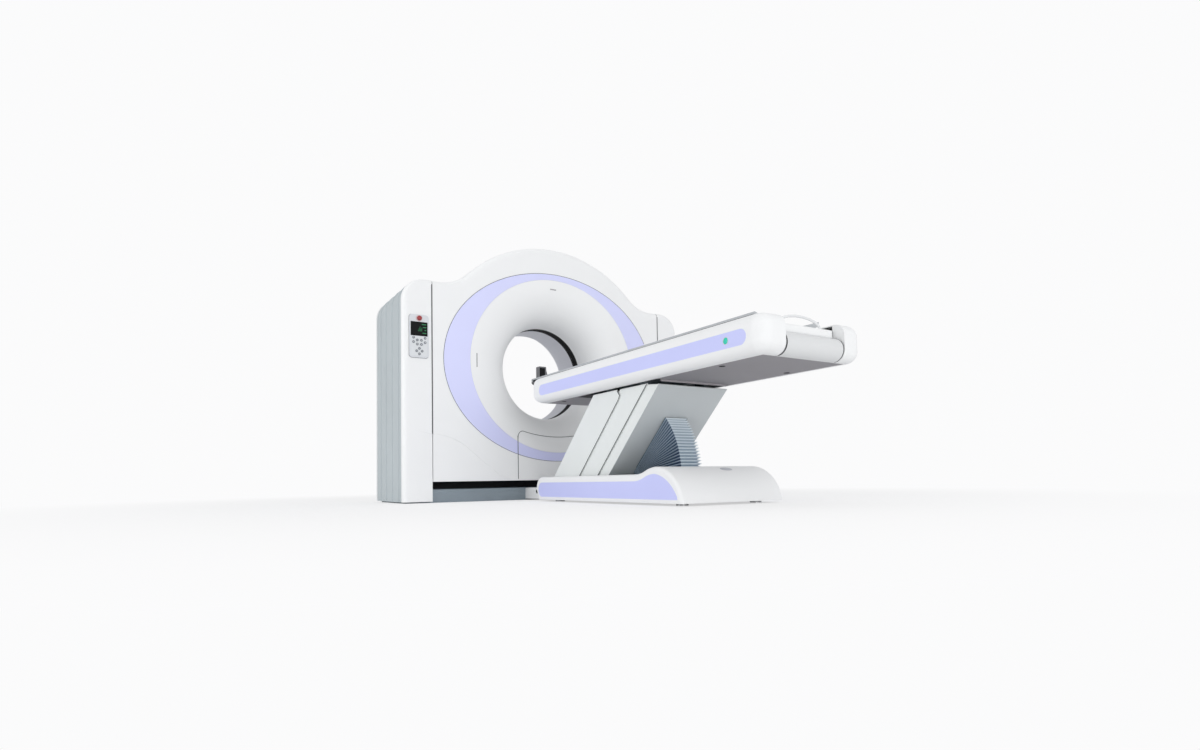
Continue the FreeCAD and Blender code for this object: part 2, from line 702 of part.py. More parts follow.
def column_crease():
    """The gantry's crease runs on over the column and fades out."""
    x0, x1 = TILT_HALF, TILT_HALF + 130
    wedge = slab_z([(x0, FRONT_Y - 1), (x1, FRONT_Y - 1), (x1, FRONT_Y), (x0, FRONT_Y + CREASE_DEPTH)],
                   -10, SHOULDER_Z)
    return wedge.common(slab_y([(x0, -10), (x1, -10), (x1, 476), (x0, 452)], FRONT_Y - 2, FRONT_Y + 20))


def make_right_column_front():
    back = FRONT_Y + COLUMN_FRONT_DEPTH
    inside = FRONT_Y + 2 * COLUMN_WALL
    outer = soften(column_block(0, FRONT_Y, back), 30, outer_front_edges(FRONT_Y))
    inner = slant(column_block(COLUMN_WALL, inside, back + 1), 20, outer_front_edges(inside))
    return outer.cut([inner, column_crease()])


def make_left_column_front():
    column = mirror_x(make_right_column_front())
    return column.cut(rod_y(FRONT_Y - 1, FRONT_Y + 20, PANEL_X, STOP_Z, STOP_STEM_R + 4))


def make_right_side_panel():
    """Grey sheet with four pressed ribs that run up the side and over the column's shoulder."""
    y0 = FRONT_Y + COLUMN_FRONT_DEPTH + COVER_SEAM
    y1 = COLUMN_REAR_Y - COVER_SEAM
    x2 = TILT_HALF + SIDE_SEAM + COLUMN_WIDTH
    x1 = x2 - RIB_HEIGHT
    x0 = x1 - SHEET
    outline = [(x0, y0), (x1, y0)]
    for y in (-193, -38, 114, 252):
        outline += [(x1, y - 7), (x2, y - 4), (x2, y + 4), (x1, y + 7)]
    outline += [(x1, y1), (x0, y1)]
    turn_x, turn_z = x2 - COLUMN_CORNER_R, SHOULDER_Z - COLUMN_CORNER_R
    upright = slab_z(outline, COLUMN_BOTTOM_Z, turn_z)
    corners = [V(x, y, turn_z) for x, y in outline]
    face = Part.Face(Part.makePolygon(corners + corners[:1]))
    bend = face.revolve(V(turn_x, 0, turn_z), V(0, 1, 0), -90)
    corners = [V(turn_x, y, turn_z + x - turn_x) for x, y in outline]
    face = Part.Face(Part.makePolygon(corners + corners[:1]))
    top = face.extrude(V(TILT_HALF + SIDE_SEAM - turn_x, 0, 0))
    return upright.fuse([bend, top])


def make_left_side_panel():
    return mirror_x(make_right_side_panel())


def make_right_column_rear():
    """Tray at the back of the column and the sheet that lines its inner side."""
    tray = column_block(0, COLUMN_REAR_Y, REAR_Y + 2)
    tray = tray.cut(column_block(COLUMN_WALL, COLUMN_REAR_Y - 1, REAR_Y - 4))
    x = TILT_HALF + SIDE_SEAM
    y0, top = FRONT_Y + COLUMN_FRONT_DEPTH + COVER_SEAM, SHOULDER_Z - RIB_HEIGHT - SHEET
    liner = box(x + 2, x + 2 + SHEET, y0, COLUMN_REAR_Y + 5, SKIRT_Z + 2, top)
    liner = liner.cut(rod_x(x, x + 10, 0, ISO_Z, TRUNNION_R + 15))
    return tray.fuse(liner)


def make_left_column_rear():
    return mirror_x(make_right_column_rear())


# ---------------------------------------------------------------- gantry base
def make_gantry_base():
    """Low steel frame: bed plate, upright skirts, feet for the covers and anchor holes."""
    plate = box(-BASE_HALF, BASE_HALF, BASE_FRONT_Y, BASE_REAR_Y, 0, BASE_PLATE_Z)
    pocket = box(250 - BASE_HALF, BASE_HALF - 250, BASE_FRONT_Y + 60, BASE_REAR_Y - 60, -1,
                 BASE_PLATE_Z - 12)
    plate = plate.cut(pocket)
    skirt_half = TILT_HALF + 3
    skirts = [box(-skirt_half, skirt_half, y, y + 6, BASE_PLATE_Z - 1, SKIRT_Z)
              for y in (BASE_FRONT_Y, BASE_REAR_Y - 6)]
    feet = []
    for x in (BASE_HALF - 130, BASE_HALF - 30):
        feet.append(box(x - 20, x + 20, FRONT_Y + 2 * COLUMN_WALL, BASE_FRONT_Y + 1, 20, 50))
        feet.append(box(x - 20, x + 20, BASE_REAR_Y - 1, REAR_Y - 4, 20, 50))
    side_x = TILT_HALF + SIDE_SEAM + COLUMN_WIDTH - RIB_HEIGHT - SHEET
    for y in (-150, 200):
        feet.append(box(BASE_HALF - 1, side_x, y - 20, y + 20, 20, 50))
    for foot in feet:
        plate = plate.fuse([foot, mirror_x(foot)])
    holes = []
    for x in (-ANCHOR_X, ANCHOR_X):
        for y in (ANCHOR_MID_Y - ANCHOR_Y, ANCHOR_MID_Y + ANCHOR_Y):
            holes.append(rod_z(-1, BASE_PLATE_Z + 1, x, y, ANCHOR_R))
    return plate.fuse(skirts).cut(holes)


# ---------------------------------------------------------------- control panel
def make_control_panel():
    x0, x1 = PANEL_X - PANEL_WIDTH / 2, PANEL_X + PANEL_WIDTH / 2
    y0 = FRONT_Y - PANEL_THICK
    body = rounded_slab_y(x0, x1, PANEL_BOTTOM_Z, PANEL_TOP_Z, y0, FRONT_Y, 20)
    recess = box(x0 + 8, x1 - 8, y0 - 1, y0 + 2, DISPLAY_Z0, DISPLAY_Z1)
    stem = rod_y(y0 - 1, FRONT_Y + 1, PANEL_X, STOP_Z, STOP_STEM_R + RUNNING)
    return body.cut([recess, stem])


def make_display():
    x0, x1 = PANEL_X - PANEL_WIDTH / 2 + 8 + LENS_GAP, PANEL_X + PANEL_WIDTH / 2 - 8 - LENS_GAP
    y0 = FRONT_Y - PANEL_THICK
    return box(x0, x1, y0 - 0.5, y0 + 2, DISPLAY_Z0 + LENS_GAP, DISPLAY_Z1 - LENS_GAP)


def make_keypad():
    """One soft sheet with twelve raised keys: two rows of four and a cross below them."""
    y = FRONT_Y - PANEL_THICK
    sheet = box(PANEL_X - 52, PANEL_X + 52, y - 1.5, y, 962, 1089)
    places = [(-18, 992), (18, 992), (0, 1009), (0, 973)]
    for x, z in ((38, 1079), (38, 1050), (13.5, 1063), (13.5, 1036)):
        places += [(-x, z), (x, z)]
    keys = []
    for x, z in places:
        rim = [polar(PANEL_X + x, z, KEY_R, 15 + 30 * i) for i in range(12)]
        keys.append(slab_y(rim, y - 1.5 - KEY_PROUD, y - 1))
    return sheet.fuse(keys)


def make_emergency_stop():
    face = FRONT_Y - PANEL_THICK
    head_back = face - STOP_TRAVEL - 1
    rim = [polar(PANEL_X, STOP_Z, STOP_R, 15 * i) for i in range(24)]
    head = slab_y(rim, head_back - 12, head_back)
    head = head.makeChamfer(3, [e for e in head.Edges if e.BoundBox.YMax < head_back - 11])
    return head.fuse(rod_y(head_back - 1, FRONT_Y + 6, PANEL_X, STOP_Z, STOP_STEM_R))


# ---------------------------------------------------------------- table arm
def on_arm(pivot_y, u, v):
    """Point `u` up the arm from a lower pivot and `v` in front of its line."""
    c, s = math.cos(math.radians(LIFT_ANGLE)), math.sin(math.radians(LIFT_ANGLE))
    return pivot_y - c * u + s * v, PIVOT_Z + s * u + c * v


def lower_pivots():
    return PIVOT_Y, PIVOT_Y - PIVOT_PITCH / 2, PIVOT_Y - PIVOT_PITCH


def rod_on_arm(x0, x1, pivot_y, u, v, r):
    y, z = on_arm(pivot_y, u, v)
    return rod_x(x0, x1, y, z, r)


def link_body(pivot_y, bars):
    """Two side plates with pivot pins, joined by round cross bars (place, radius)."""
    h = LINK_HALF_DEPTH
    corners = [(0, -h), (LINK_LENGTH, -h), (LINK_LENGTH, h), (0, h)]
    plate = slab_x([on_arm(pivot_y, u, v) for u, v in corners], LINK_X0, LINK_X1)
    for u in (0, LINK_LENGTH):
        plate = plate.fuse(rod_on_arm(LINK_X0, LINK_X1, pivot_y, u, 0, h))
        plate = plate.fuse(rod_on_arm(LINK_X1 - 1, LUG_X1, pivot_y, u, 0, PIN_R))
    link = both_sides(plate)
    for u, r in bars:
        link = link.fuse(rod_on_arm(-LINK_X0 - 1, LINK_X0 + 1, pivot_y, u, 0, r))
    return link.removeSplitter()


def make_front_link():
    return link_body(PIVOT_Y, [(200, 20), (500, 20)])


def make_rear_link():
    return link_body(PIVOT_Y - PIVOT_PITCH, [(ROD_END_U, ROD_PIN_R), (560, 20)])


def standoffs(pivot_y, x_outer):
    """Short bars that hold a cover on its link."""
    rods = [rod_on_arm(LINK_X1, x_outer, pivot_y, u, 0, 12) for u in (150, 560)]
    return [both_sides(rod) for rod in rods]


def make_arm_cover_front():
    """Front sheet of the arm with its two side flanges."""
    x1 = ARM_HALF
    low = [on_arm(PIVOT_Y, -50, COVER_OUT), on_arm(PIVOT_Y, 167, -128)]
    top_u = (ARM_TOP_Z - on_arm(PIVOT_Y, 0, COVER_OUT)[1]) / math.sin(math.radians(LIFT_ANGLE))
    top = on_arm(PIVOT_Y, top_u, COVER_OUT)
    outline = [low[0], top, (-1465, ARM_TOP_Z), (-1492, 606), (-1476, 579), low[1]]
    flange = slab_x(outline, x1 - SHEET, x1)
    face = slab_x([low[0], top, on_arm(PIVOT_Y, top_u - 4, COVER_OUT - SHEET),
                   on_arm(PIVOT_Y, -50, COVER_OUT - SHEET)], -x1, x1)
    return both_sides(flange).fuse([face] + standoffs(PIVOT_Y, x1 - SHEET + 1)).removeSplitter()


def make_arm_cover_mid():
    """Loose middle plates of the arm, turning on a shaft of their own."""
    x1 = ARM_HALF - SHEET - 1
    pivot_y = lower_pivots()[1]
    rise = math.sin(math.radians(LIFT_ANGLE))
    top_front = (ARM_TOP_Z - on_arm(pivot_y, 0, 30)[1]) / rise
    top_rear = (ARM_TOP_Z - on_arm(pivot_y, 0, -149)[1]) / rise
    outline = [(-25, 30), (top_front, 30), (top_rear, -149), (216, -149), (0, -30), (-25, -10)]
    plate = slab_x([on_arm(pivot_y, u, v) for u, v in outline], x1 - SHEET, x1)
    shaft = rod_x(-x1 + 1, x1 - 1, pivot_y, PIVOT_Z, MID_PIN_R)
    return both_sides(plate).fuse(shaft)


def make_arm_cover_rear():
    """Rear sheet of the arm; a slot behind the bellows lets the lifting actuator through."""
    x1 = ARM_HALF - 2 * (SHEET + 1)
    pivot_y = lower_pivots()[2]
    out = -COVER_OUT
    top_rear = (ARM_TOP_Z - 15 - on_arm(pivot_y, 0, out)[1]) / math.sin(math.radians(LIFT_ANGLE))
    outline = [(40, 5), (764, 5), (top_rear, out), (103, out)]
    flange = slab_x([on_arm(pivot_y, u, v) for u, v in outline], x1 - SHEET, x1)
    sheet = [(103, out), (top_rear, out), (top_rear, out + SHEET), (103, out + SHEET)]
    face = slab_x([on_arm(pivot_y, u, v) for u, v in sheet], -x1, x1)
    slot = [(235, out - 1), (490, out - 1), (490, out + 5), (235, out + 5)]
    face = face.cut(slab_x([on_arm(pivot_y, u, v) for u, v in slot], -50, 50))
    return both_sides(flange).fuse([face] + standoffs(pivot_y, x1 - SHEET + 1)).removeSplitter()


# ---------------------------------------------------------------- lifting actuator
def actuator_line():
    """Unit direction (y, z) from the actuator's foot to the pin on the rear link, and length."""
    y, z = on_arm(PIVOT_Y - PIVOT_PITCH, ROD_END_U, 0)
    span = math.hypot(y - FOOT_Y, z - FOOT_Z)
    return (y - FOOT_Y) / span, (z - FOOT_Z) / span, span


def actuator_rod_solid(start, end, r):
    dy, dz, span = actuator_line()
    base = V(0, FOOT_Y + dy * start, FOOT_Z + dz * start)
    return Part.makeCylinder(r, end - start, base, V(0, dy, dz))


def make_actuator_body():
    body = actuator_rod_solid(-34, 330, 32).fuse(actuator_rod_solid(60, 130, 38))
    bore = actuator_rod_solid(110, 331, ROD_R + RUNNING)
    pin = rod_x(-60, 60, FOOT_Y, FOOT_Z, FOOT_PIN_R + RUNNING)
    return body.cut([bore, pin])


def make_actuator_rod():
    """Piston rod whose wide eye leaves the pin on the link room to wander in the eye."""
    span = actuator_line()[2]
    y, z = on_arm(PIVOT_Y - PIVOT_PITCH, ROD_END_U, 0)
    eye = rod_x(-20, 20, y, z, ROD_PIN_R + EYE_PLAY + 14)
    rod = actuator_rod_solid(ROD_START, span - 30, ROD_R).fuse(eye)
    return rod.cut(rod_x(-21, 21, y, z, ROD_PIN_R + EYE_PLAY))


# ---------------------------------------------------------------- fan bellows
def fan_frame(degrees, depth, wall):
    """Corners of a rectangle standing out from the hinge line of the fan at one angle."""
    half = BELLOWS_HALF - depth - wall
    reach, start = BELLOWS_R - depth - wall, BELLOWS_R0 + wall
    c, s = math.cos(math.radians(degrees)), math.sin(math.radians(degrees))
    spots = [(-half, start), (half, start), (half, reach), (-half, reach)]
    return [V(x, BELLOWS_Y - r * c, BELLOWS_Z + r * s) for x, r in spots]


def fan_solid(wall, spread):
    """Box pleats in flat facets: the level folds are whole, the twisted sides two triangles."""
    frames = []
    steps = 2 * BELLOWS_PLEATS
    for i in range(steps + 1):
        degrees = BELLOWS_HIGH + (BELLOWS_LOW - BELLOWS_HIGH) * i / steps
        degrees += spread * (1 if i == 0 else -1 if i == steps else 0)
        frames.append(fan_frame(degrees, PLEAT_DEPTH * (i % 2), wall))
    faces = [flat_face(frames[0]), flat_face(frames[-1])]
    for near, far in zip(frames, frames[1:]):
        faces.append(flat_face([near[0], near[1], far[1], far[0]]))
        faces.append(flat_face([near[2], near[3], far[3], far[2]]))
        for a, b in ((1, 2), (3, 0)):
            faces.append(flat_face([near[a], near[b], far[b]]))
            faces.append(flat_face([near[a], far[b], far[a]]))
    return Part.Solid(Part.Shell(faces))


def make_fan_bellows():
    """Fan of box pleats between the back of the arm and the base, with its foot flange."""
    fan = fan_solid(0, 0).cut(fan_solid(BELLOWS_WALL, 0.2))
    top = TBASE_TOP_Z + LENS_GAP
    foot = box(-BELLOWS_HALF, BELLOWS_HALF, -1738, -1645, top, top + 16)
    slope = slab_x([(-1800, TBASE_TOP_Z), (-1600, TBASE_TOP_Z), (BELLOWS_Y - 250, BELLOWS_Z + 9),
                    (BELLOWS_Y - 450, BELLOWS_Z + 16)], -BELLOWS_HALF, BELLOWS_HALF)
    foot = foot.common(slope).cut(box(-SLOT_HALF, SLOT_HALF, -1726, -1640, top - 1, top + 17))
    return fan.fuse(foot)


# ---------------------------------------------------------------- table base
def swell_wire(x, y0, y1, low, high):
    """S-curve of two equal arcs, level at both ends, climbing from (y0, low) to (y1, high)."""
    run, rise = abs(y1 - y0) / 2, (high - low) / 2
    r = (run ** 2 + rise ** 2) / (2 * rise)
    turn = math.asin(run / r) / 2
    step, lift = math.copysign(r * math.sin(turn), y1 - y0), r * (1 - math.cos(turn))
    half = V(x, (y0 + y1) / 2, (low + high) / 2)
    first = arc(V(x, y0, low), V(x, y0 + step, low + lift), half)
    return [first, arc(half, V(x, y1 - step, high - lift), V(x, y1, high))]


def base_side_wire(inset, x):
    """Side outline of the table base: round nose, flat top, hump over the foot and round tail."""
    r, top, bottom = TBASE_NOSE_R - inset, TBASE_TOP_Z - inset, TBASE_BOTTOM_Z - inset
    ny, nz = TBASE_NOSE_Y, TBASE_TOP_Z - TBASE_NOSE_R
    low_y, low_z = polar(ny, nz, r, -45)
    crest, rear = HUMP_Z - inset, TBASE_REAR_Y + inset
    tail_r = ((HUMP_Y - rear) ** 2 + (crest - bottom) ** 2) / (2 * (crest - bottom))
    turn = math.asin((HUMP_Y - rear) / tail_r) / 2
    foot, chin = V(x, low_y - 12, bottom), V(x, low_y, low_z)
    brow, start = V(x, ny, top), V(x, HUMP_Y + HUMP_RUN, top)
    tail_top, tail = V(x, HUMP_Y, crest), V(x, rear, bottom)
    tail_mid = V(x, HUMP_Y - tail_r * math.sin(turn), crest - tail_r * (1 - math.cos(turn)))
    edges = [line(foot, chin), arc(chin, V(x, ny + r, nz), brow), line(brow, start)]
    edges += swell_wire(x, HUMP_Y + HUMP_RUN, HUMP_Y, top, crest)
    edges += [arc(tail_top, tail_mid, tail), line(tail, foot)]
    return Part.Wire(edges)


def base_block(inset):
    half = TBASE_HALF - inset
    block = Part.Face(base_side_wire(inset, -half)).extrude(V(2 * half, 0, 0))
    long_edges = []
    for e in block.Edges:
        on_side = all(abs(abs(v.X) - half) < 0.01 for v in e.Vertexes) and len(e.Vertexes) == 2
        flat = abs(e.Vertexes[0].X - e.Vertexes[-1].X) < 1.0
        if on_side and flat and e.BoundBox.ZMax > TBASE_BOTTOM_Z + 1:
            long_edges.append(e)
    if inset:
        return block.makeChamfer(8, long_edges)
    return block.makeFillet(TBASE_EDGE_R, long_edges)


def stripe_prism(x0, x1):
    """Coloured inlay along the side of the base; it climbs with the hump."""
    r = (TBASE_STRIPE_TOP - TBASE_STRIPE_LOW) / 2
    y, z = TBASE_NOSE_Y - 12, TBASE_STRIPE_LOW + r
    start_y, crest = HUMP_Y + HUMP_RUN, HUMP_Z - TBASE_TOP_Z + TBASE_STRIPE_TOP
    rear = TBASE_REAR_Y + 35
    tail_top, tail, heel = V(x0, HUMP_Y, crest), V(x0, rear + 3, z - r + 15), V(x0, rear, z - r)
    edges = [arc(V(x0, y, z - r), V(x0, y + r, z), V(x0, y, z + r)),
             line(V(x0, y, z + r), V(x0, start_y, z + r))]
    edges += swell_wire(x0, start_y, HUMP_Y, z + r, crest)
    edges += [arc(tail_top, V(x0, rear + 72, crest - 39), tail), line(tail, heel),
              line(heel, V(x0, y, z - r))]
    return Part.Face(Part.Wire(edges)).extrude(V(x1 - x0, 0, 0))


def make_table_base_cover():
    cover = base_block(0).cut(base_block(BASE_WALL))
    front, low, high = TBASE_NOSE_Y + 2, TBASE_TOP_Z - 60, HUMP_Z + 10
    opening = box(-OPENING_HALF, OPENING_HALF, -1640, front, low, high)
    slot = box(-SLOT_HALF, SLOT_HALF, -1726, -1630, low, high)
    inlay = stripe_prism(TBASE_HALF - STRIPE_DEPTH, TBASE_HALF + 1)
    return cover.cut([opening, slot, inlay, mirror_x(inlay)])


def make_base_stripes():
    stripe = stripe_prism(TBASE_HALF - STRIPE_DEPTH, TBASE_HALF)
    return Part.makeCompound([stripe, mirror_x(stripe)])


def make_table_base_frame():
    """Bed plate with the pivot lugs of the arm and the foot of the actuator."""
    half = TBASE_HALF - BASE_WALL - LENS_GAP
    plate = box(-half, half, TBASE_REAR_Y + 53, TBASE_NOSE_Y - 10, FRAME_LOW_Z, FRAME_LOW_Z + 16)
    top = FRAME_LOW_Z + 16
    f, m, r = lower_pivots()
    outline = [(f + 60, top), (f + 34, 140), (r - 34, 140), (r - 70, top)]
    lug = slab_x(outline, LUG_X0, LUG_X1)
    lug = lug.cut([rod_x(LUG_X0 - 1, LUG_X1 + 1, y, PIVOT_Z, pin_r + RUNNING)
                   for y, pin_r in ((f, PIN_R), (m, MID_PIN_R), (r, PIN_R))])
    bracket = slab_x([(FOOT_Y + 45, top), (FOOT_Y + 20, FOOT_Z + 20), (FOOT_Y - 20, FOOT_Z + 20),
                      (FOOT_Y - 45, top)], 40, 55)
    pin = rod_x(-55, 55, FOOT_Y, FOOT_Z, FOOT_PIN_R)
    return plate.fuse([both_sides(lug), both_sides(bracket), pin])


def make_levelling_feet():
    feet = []
    for x in (-250, 250):
        for y in (-780, -2020):
            feet.append(rod_z(0, FRAME_LOW_Z, x, y, 30))
    return Part.makeCompound(feet)


def make_bridge_cover():
    """Low cover over the cables between the table base and the gantry base."""
    y0, y1 = TBASE_NOSE_Y + TBASE_NOSE_R + 0.6, BASE_FRONT_Y
    outer = box(-240, 240, y0, y1, COLUMN_BOTTOM_Z, SKIRT_Z)
    outer = soften(outer, 10, lambda e: e.BoundBox.ZMin > SKIRT_Z - 1 and e.BoundBox.XLength < 1)
    return outer.cut(box(-236, 236, y0 + 4, y1 - 4, COLUMN_BOTTOM_Z - 1, SKIRT_Z - 4))


# ---------------------------------------------------------------- table top
def rail_profile(inset):
    """Side outline that rounds the front end of a rail."""
    y1, z0, z1 = TABLE_FRONT_Y - inset, TABLE_BOTTOM_Z + inset, TABLE_TOP_Z - inset
    y0, low_r, top_r = TABLE_REAR_Y - 10, 60 - inset, 30 - inset
    near_low, near_top = low_r * (1 - math.sqrt(0.5)), top_r * (1 - math.sqrt(0.5))
    edges = [
        line(V(0, y0, z0), V(0, y1 - low_r, z0)),
        arc(V(0, y1 - low_r, z0), V(0, y1 - near_low, z0 + near_low), V(0, y1, z0 + low_r)),
        line(V(0, y1, z0 + low_r), V(0, y1, z1 - top_r)),
        arc(V(0, y1, z1 - top_r), V(0, y1 - near_top, z1 - near_top), V(0, y1 - top_r, z1)),
        line(V(0, y1 - top_r, z1), V(0, y0, z1)),
        line(V(0, y0, z1), V(0, y0, z0)),
    ]
    return Part.Face(Part.Wire(edges)).extrude(V(TABLE_HALF + 1, 0, 0))


def rail_block(inset, edge):
    """Right rail as a full block, drawn `inset` inside its skin, with its edges eased by `edge`,
    which is soften or slant."""
    x0, x1 = TABLE_HALF - 140, TABLE_HALF - inset
    y0, y1 = TABLE_REAR_Y + inset, TABLE_FRONT_Y
    z0, z1 = TABLE_BOTTOM_Z + inset, TABLE_TOP_Z - inset
    block = box(x0 - (5 if inset else 0), x1, y0, y1, z0, z1)

    def rear_corner(e):
        return all(abs(v.X - x1) < 0.01 and abs(v.Y - y0) < 0.01 for v in e.Vertexes)
    ease = 1.0 if edge is soften else 0.8
    block = edge(block, ease * (75 - inset), rear_corner)

    def outer_chain(e):
        b = e.BoundBox
        level = b.ZLength < 0.01 and (abs(b.ZMin - z0) < 0.01 or abs(b.ZMin - z1) < 0.01)
        return level and b.XMax > x0 + 20 and (b.YMin < y0 + 1 or b.YMin < y0 + 100) and b.YMin < y1 - 1
    block = edge(block, ease * (RAIL_R - inset), outer_chain)
    return block.common(rail_profile(inset))


def rail_stripe():
    """Inlay along the rail's outer side with round ends."""
    y0, y1, z0, z1 = -2562, -657, 695, 765
    prism = box(TABLE_HALF - 30, TABLE_HALF + 1, y0, y1, z0, z1)
    prism = soften(prism, (z1 - z0) / 2 - 0.1, lambda e: e.BoundBox.XLength > 20)
    return prism.common(rail_block(0, soften)).cut(rail_block(RAIL_INLAY, soften))


def make_right_rail():
    """Moulded rail, open toward the deck but closed where it meets the end cover."""
    closed = box(184, TABLE_HALF - 136, TABLE_REAR_Y - 1, DECK_REAR_Y - LENS_GAP, 0, ISO_Z)
    shell = rail_block(0, soften).cut(rail_block(RAIL_WALL, slant).cut(closed))
    under = box(180, UNDER_HALF, DECK_REAR_Y, DECK_FRONT_Y, TABLE_BOTTOM_Z - 1,
                TABLE_BOTTOM_Z + RAIL_WALL + 1)
    return shell.cut([under, rail_stripe()])


def make_left_rail():
    return mirror_x(make_right_rail())


def make_rail_stripes():
    stripe = rail_stripe()
    return Part.makeCompound([stripe, mirror_x(stripe)])


def make_table_frame():
    """Two long beams with cross members, the deck, slide strips and the arm's upper lugs."""
    low, high = BEAM_Z, DECK_Z
    beam = box(LUG_X0, LUG_X1, DECK_REAR_Y, DECK_FRONT_Y, low, high)
    for y, r in ((lower_pivots()[0], PIN_R + RUNNING), (lower_pivots()[2], PIN_R + 2)):
        py, pz = on_arm(y, LINK_LENGTH, 0)
        lug = slab_x([(py + 45, low + 1), (py + 25, pz - 8), (py + 14, pz - 25), (py - 14, pz - 25),
                      (py - 25, pz - 8), (py - 45, low + 1)], LUG_X0, LUG_X1)
        beam = beam.fuse(lug).cut(rod_x(LUG_X0 - 1, LUG_X1 + 1, py, pz, r))
    pieces = []
    reach = TABLE_HALF - RAIL_WALL - LENS_GAP
    for y in (DECK_FRONT_Y - 60, -1100, -1900, DECK_REAR_Y + 193, DECK_REAR_Y + 40):
        pieces.append(box(-reach, reach, y - 20, y + 20, low + 20, high))
    deck = box(-LUG_X1, LUG_X1, DECK_REAR_Y, DECK_FRONT_Y, high - 1, high + 8)
    strips = [box(x - 20, x + 20, DECK_REAR_Y, DECK_FRONT_Y, high + 7, STRIP_Z) for x in (-115, 115)]
    return both_sides(beam).fuse(pieces + [deck] + strips).removeSplitter()


def make_end_cover():
    """Bull-nosed cap between the rails at the rear end of the table."""
    half, front = TABLE_HALF - RAIL_WIDTH - 0.4, DECK_REAR_Y
    height = END_COVER_TOP_Z - TABLE_BOTTOM_Z
    body = box(-half, half, TABLE_REAR_Y, front, TABLE_BOTTOM_Z, END_COVER_TOP_Z)
    inner = box(-half + 5, half - 5, TABLE_REAR_Y + 5, front - 5, TABLE_BOTTOM_Z + 5,
                END_COVER_TOP_Z - 5)

    def rear(y):
        return lambda e: e.BoundBox.XLength > 100 and e.BoundBox.YMax < y + 1
    body = soften(body, height / 2 - 0.1, rear(TABLE_REAR_Y))
    return body.cut(soften(inner, height / 2 - 5.1, rear(TABLE_REAR_Y + 5)))


def make_underside_cover():
    half, z = UNDER_HALF - LENS_GAP, TABLE_BOTTOM_Z
    sheet = box(-half, half, DECK_REAR_Y + 1, DECK_FRONT_Y - 2, z, z + RAIL_WALL)
    opening = box(-OPENING_HALF, OPENING_HALF, -1845, -1125, z - 1, z + RAIL_WALL + 1)
    lip = box(-187, 187, DECK_FRONT_Y + LENS_GAP, DECK_FRONT_Y + 4, z, END_COVER_TOP_Z - 10)
    foot = box(-187, 187, DECK_FRONT_Y - 3, DECK_FRONT_Y + 4, z, z + RAIL_WALL)
    return sheet.cut(opening).fuse([lip, foot])


# ---------------------------------------------------------------- cradle
def cradle_height(x):
    """Height of the cradle's hollow top surface at a distance from its centre line."""
    r = (CRADLE_HALF ** 2 + CRADLE_SAG ** 2) / (2 * CRADLE_SAG)
    return CRADLE_RIM_Z - CRADLE_SAG + r - math.sqrt(r ** 2 - x ** 2)


def make_cradle_board():
    """Shallow trough that carries the patient, on two runners."""
    h, y0, y1, thick = CRADLE_HALF, CRADLE_REAR_Y, CRADLE_FRONT_Y, CRADLE_THICK
    plan = box(-h, h, y0, y1, STRIP_Z, CRADLE_RIM_Z + 100)
    plan = soften(plan, 60, lambda e: e.BoundBox.ZLength > 100 and e.BoundBox.YMin > y1 - 1)
    wide, edge, low = h + 40, cradle_height(h + 40), cradle_height(0)
    edges = [
        arc(V(-wide, y0 - 1, edge), V(0, y0 - 1, low), V(wide, y0 - 1, edge)),
        line(V(wide, y0 - 1, edge), V(wide, y0 - 1, edge - thick)),
        arc(V(wide, y0 - 1, edge - thick), V(0, y0 - 1, low - thick), V(-wide, y0 - 1, edge - thick)),
        line(V(-wide, y0 - 1, edge - thick), V(-wide, y0 - 1, edge)),
    ]
    trough = Part.Face(Part.Wire(edges)).extrude(V(0, y1 - y0 + 2, 0))
    board = plan.common(trough)
    for x in (-115, 115):
        board = board.fuse(box(x - 15, x + 15, y0, y1 - 380, STRIP_Z + LENS_GAP, low - 10))
    return board


def make_cradle_tail():
    end, top = CRADLE_REAR_Y - TAIL_LENGTH, CRADLE_RIM_Z - CRADLE_SAG - CRADLE_THICK
    half = TABLE_HALF - RAIL_WIDTH - 1
    tail = box(-half, half, end, CRADLE_REAR_Y, STRIP_Z + 1, top)
    tail = soften(tail, 12, lambda e: e.BoundBox.YMax < end + 1)
    step = box(-160, 160, CRADLE_REAR_Y - 20, CRADLE_REAR_Y, top - 1, top + 12)
    return tail.fuse(step)


def make_loop_handle():
    """Low arch of twelve-sided tube that the operator pulls the cradle by."""
    r, half, rise, y = 6, 135, 43, CRADLE_REAR_Y - 65
    foot = CRADLE_RIM_Z - CRADLE_SAG - CRADLE_THICK
    spots = [(-half, foot)]
    for degrees in range(180, -1, -20):
        turn = math.radians(degrees)
        spots.append((half * math.cos(turn), foot + 6 + rise * math.sin(turn)))
    spots.append((half, foot))
    path = Part.makePolygon([V(x, y, z) for x, z in spots])
    rim = [polar(-half, y, r, 15 + 30 * i) for i in range(12)]
    section = Part.makePolygon([V(x, y, foot) for x, y in rim + rim[:1]])
    sweep = Part.BRepOffsetAPI.MakePipeShell(path)
    sweep.setTransitionMode(1)
    sweep.add(section)
    sweep.build()
    sweep.makeSolid()
    return sweep.shape()


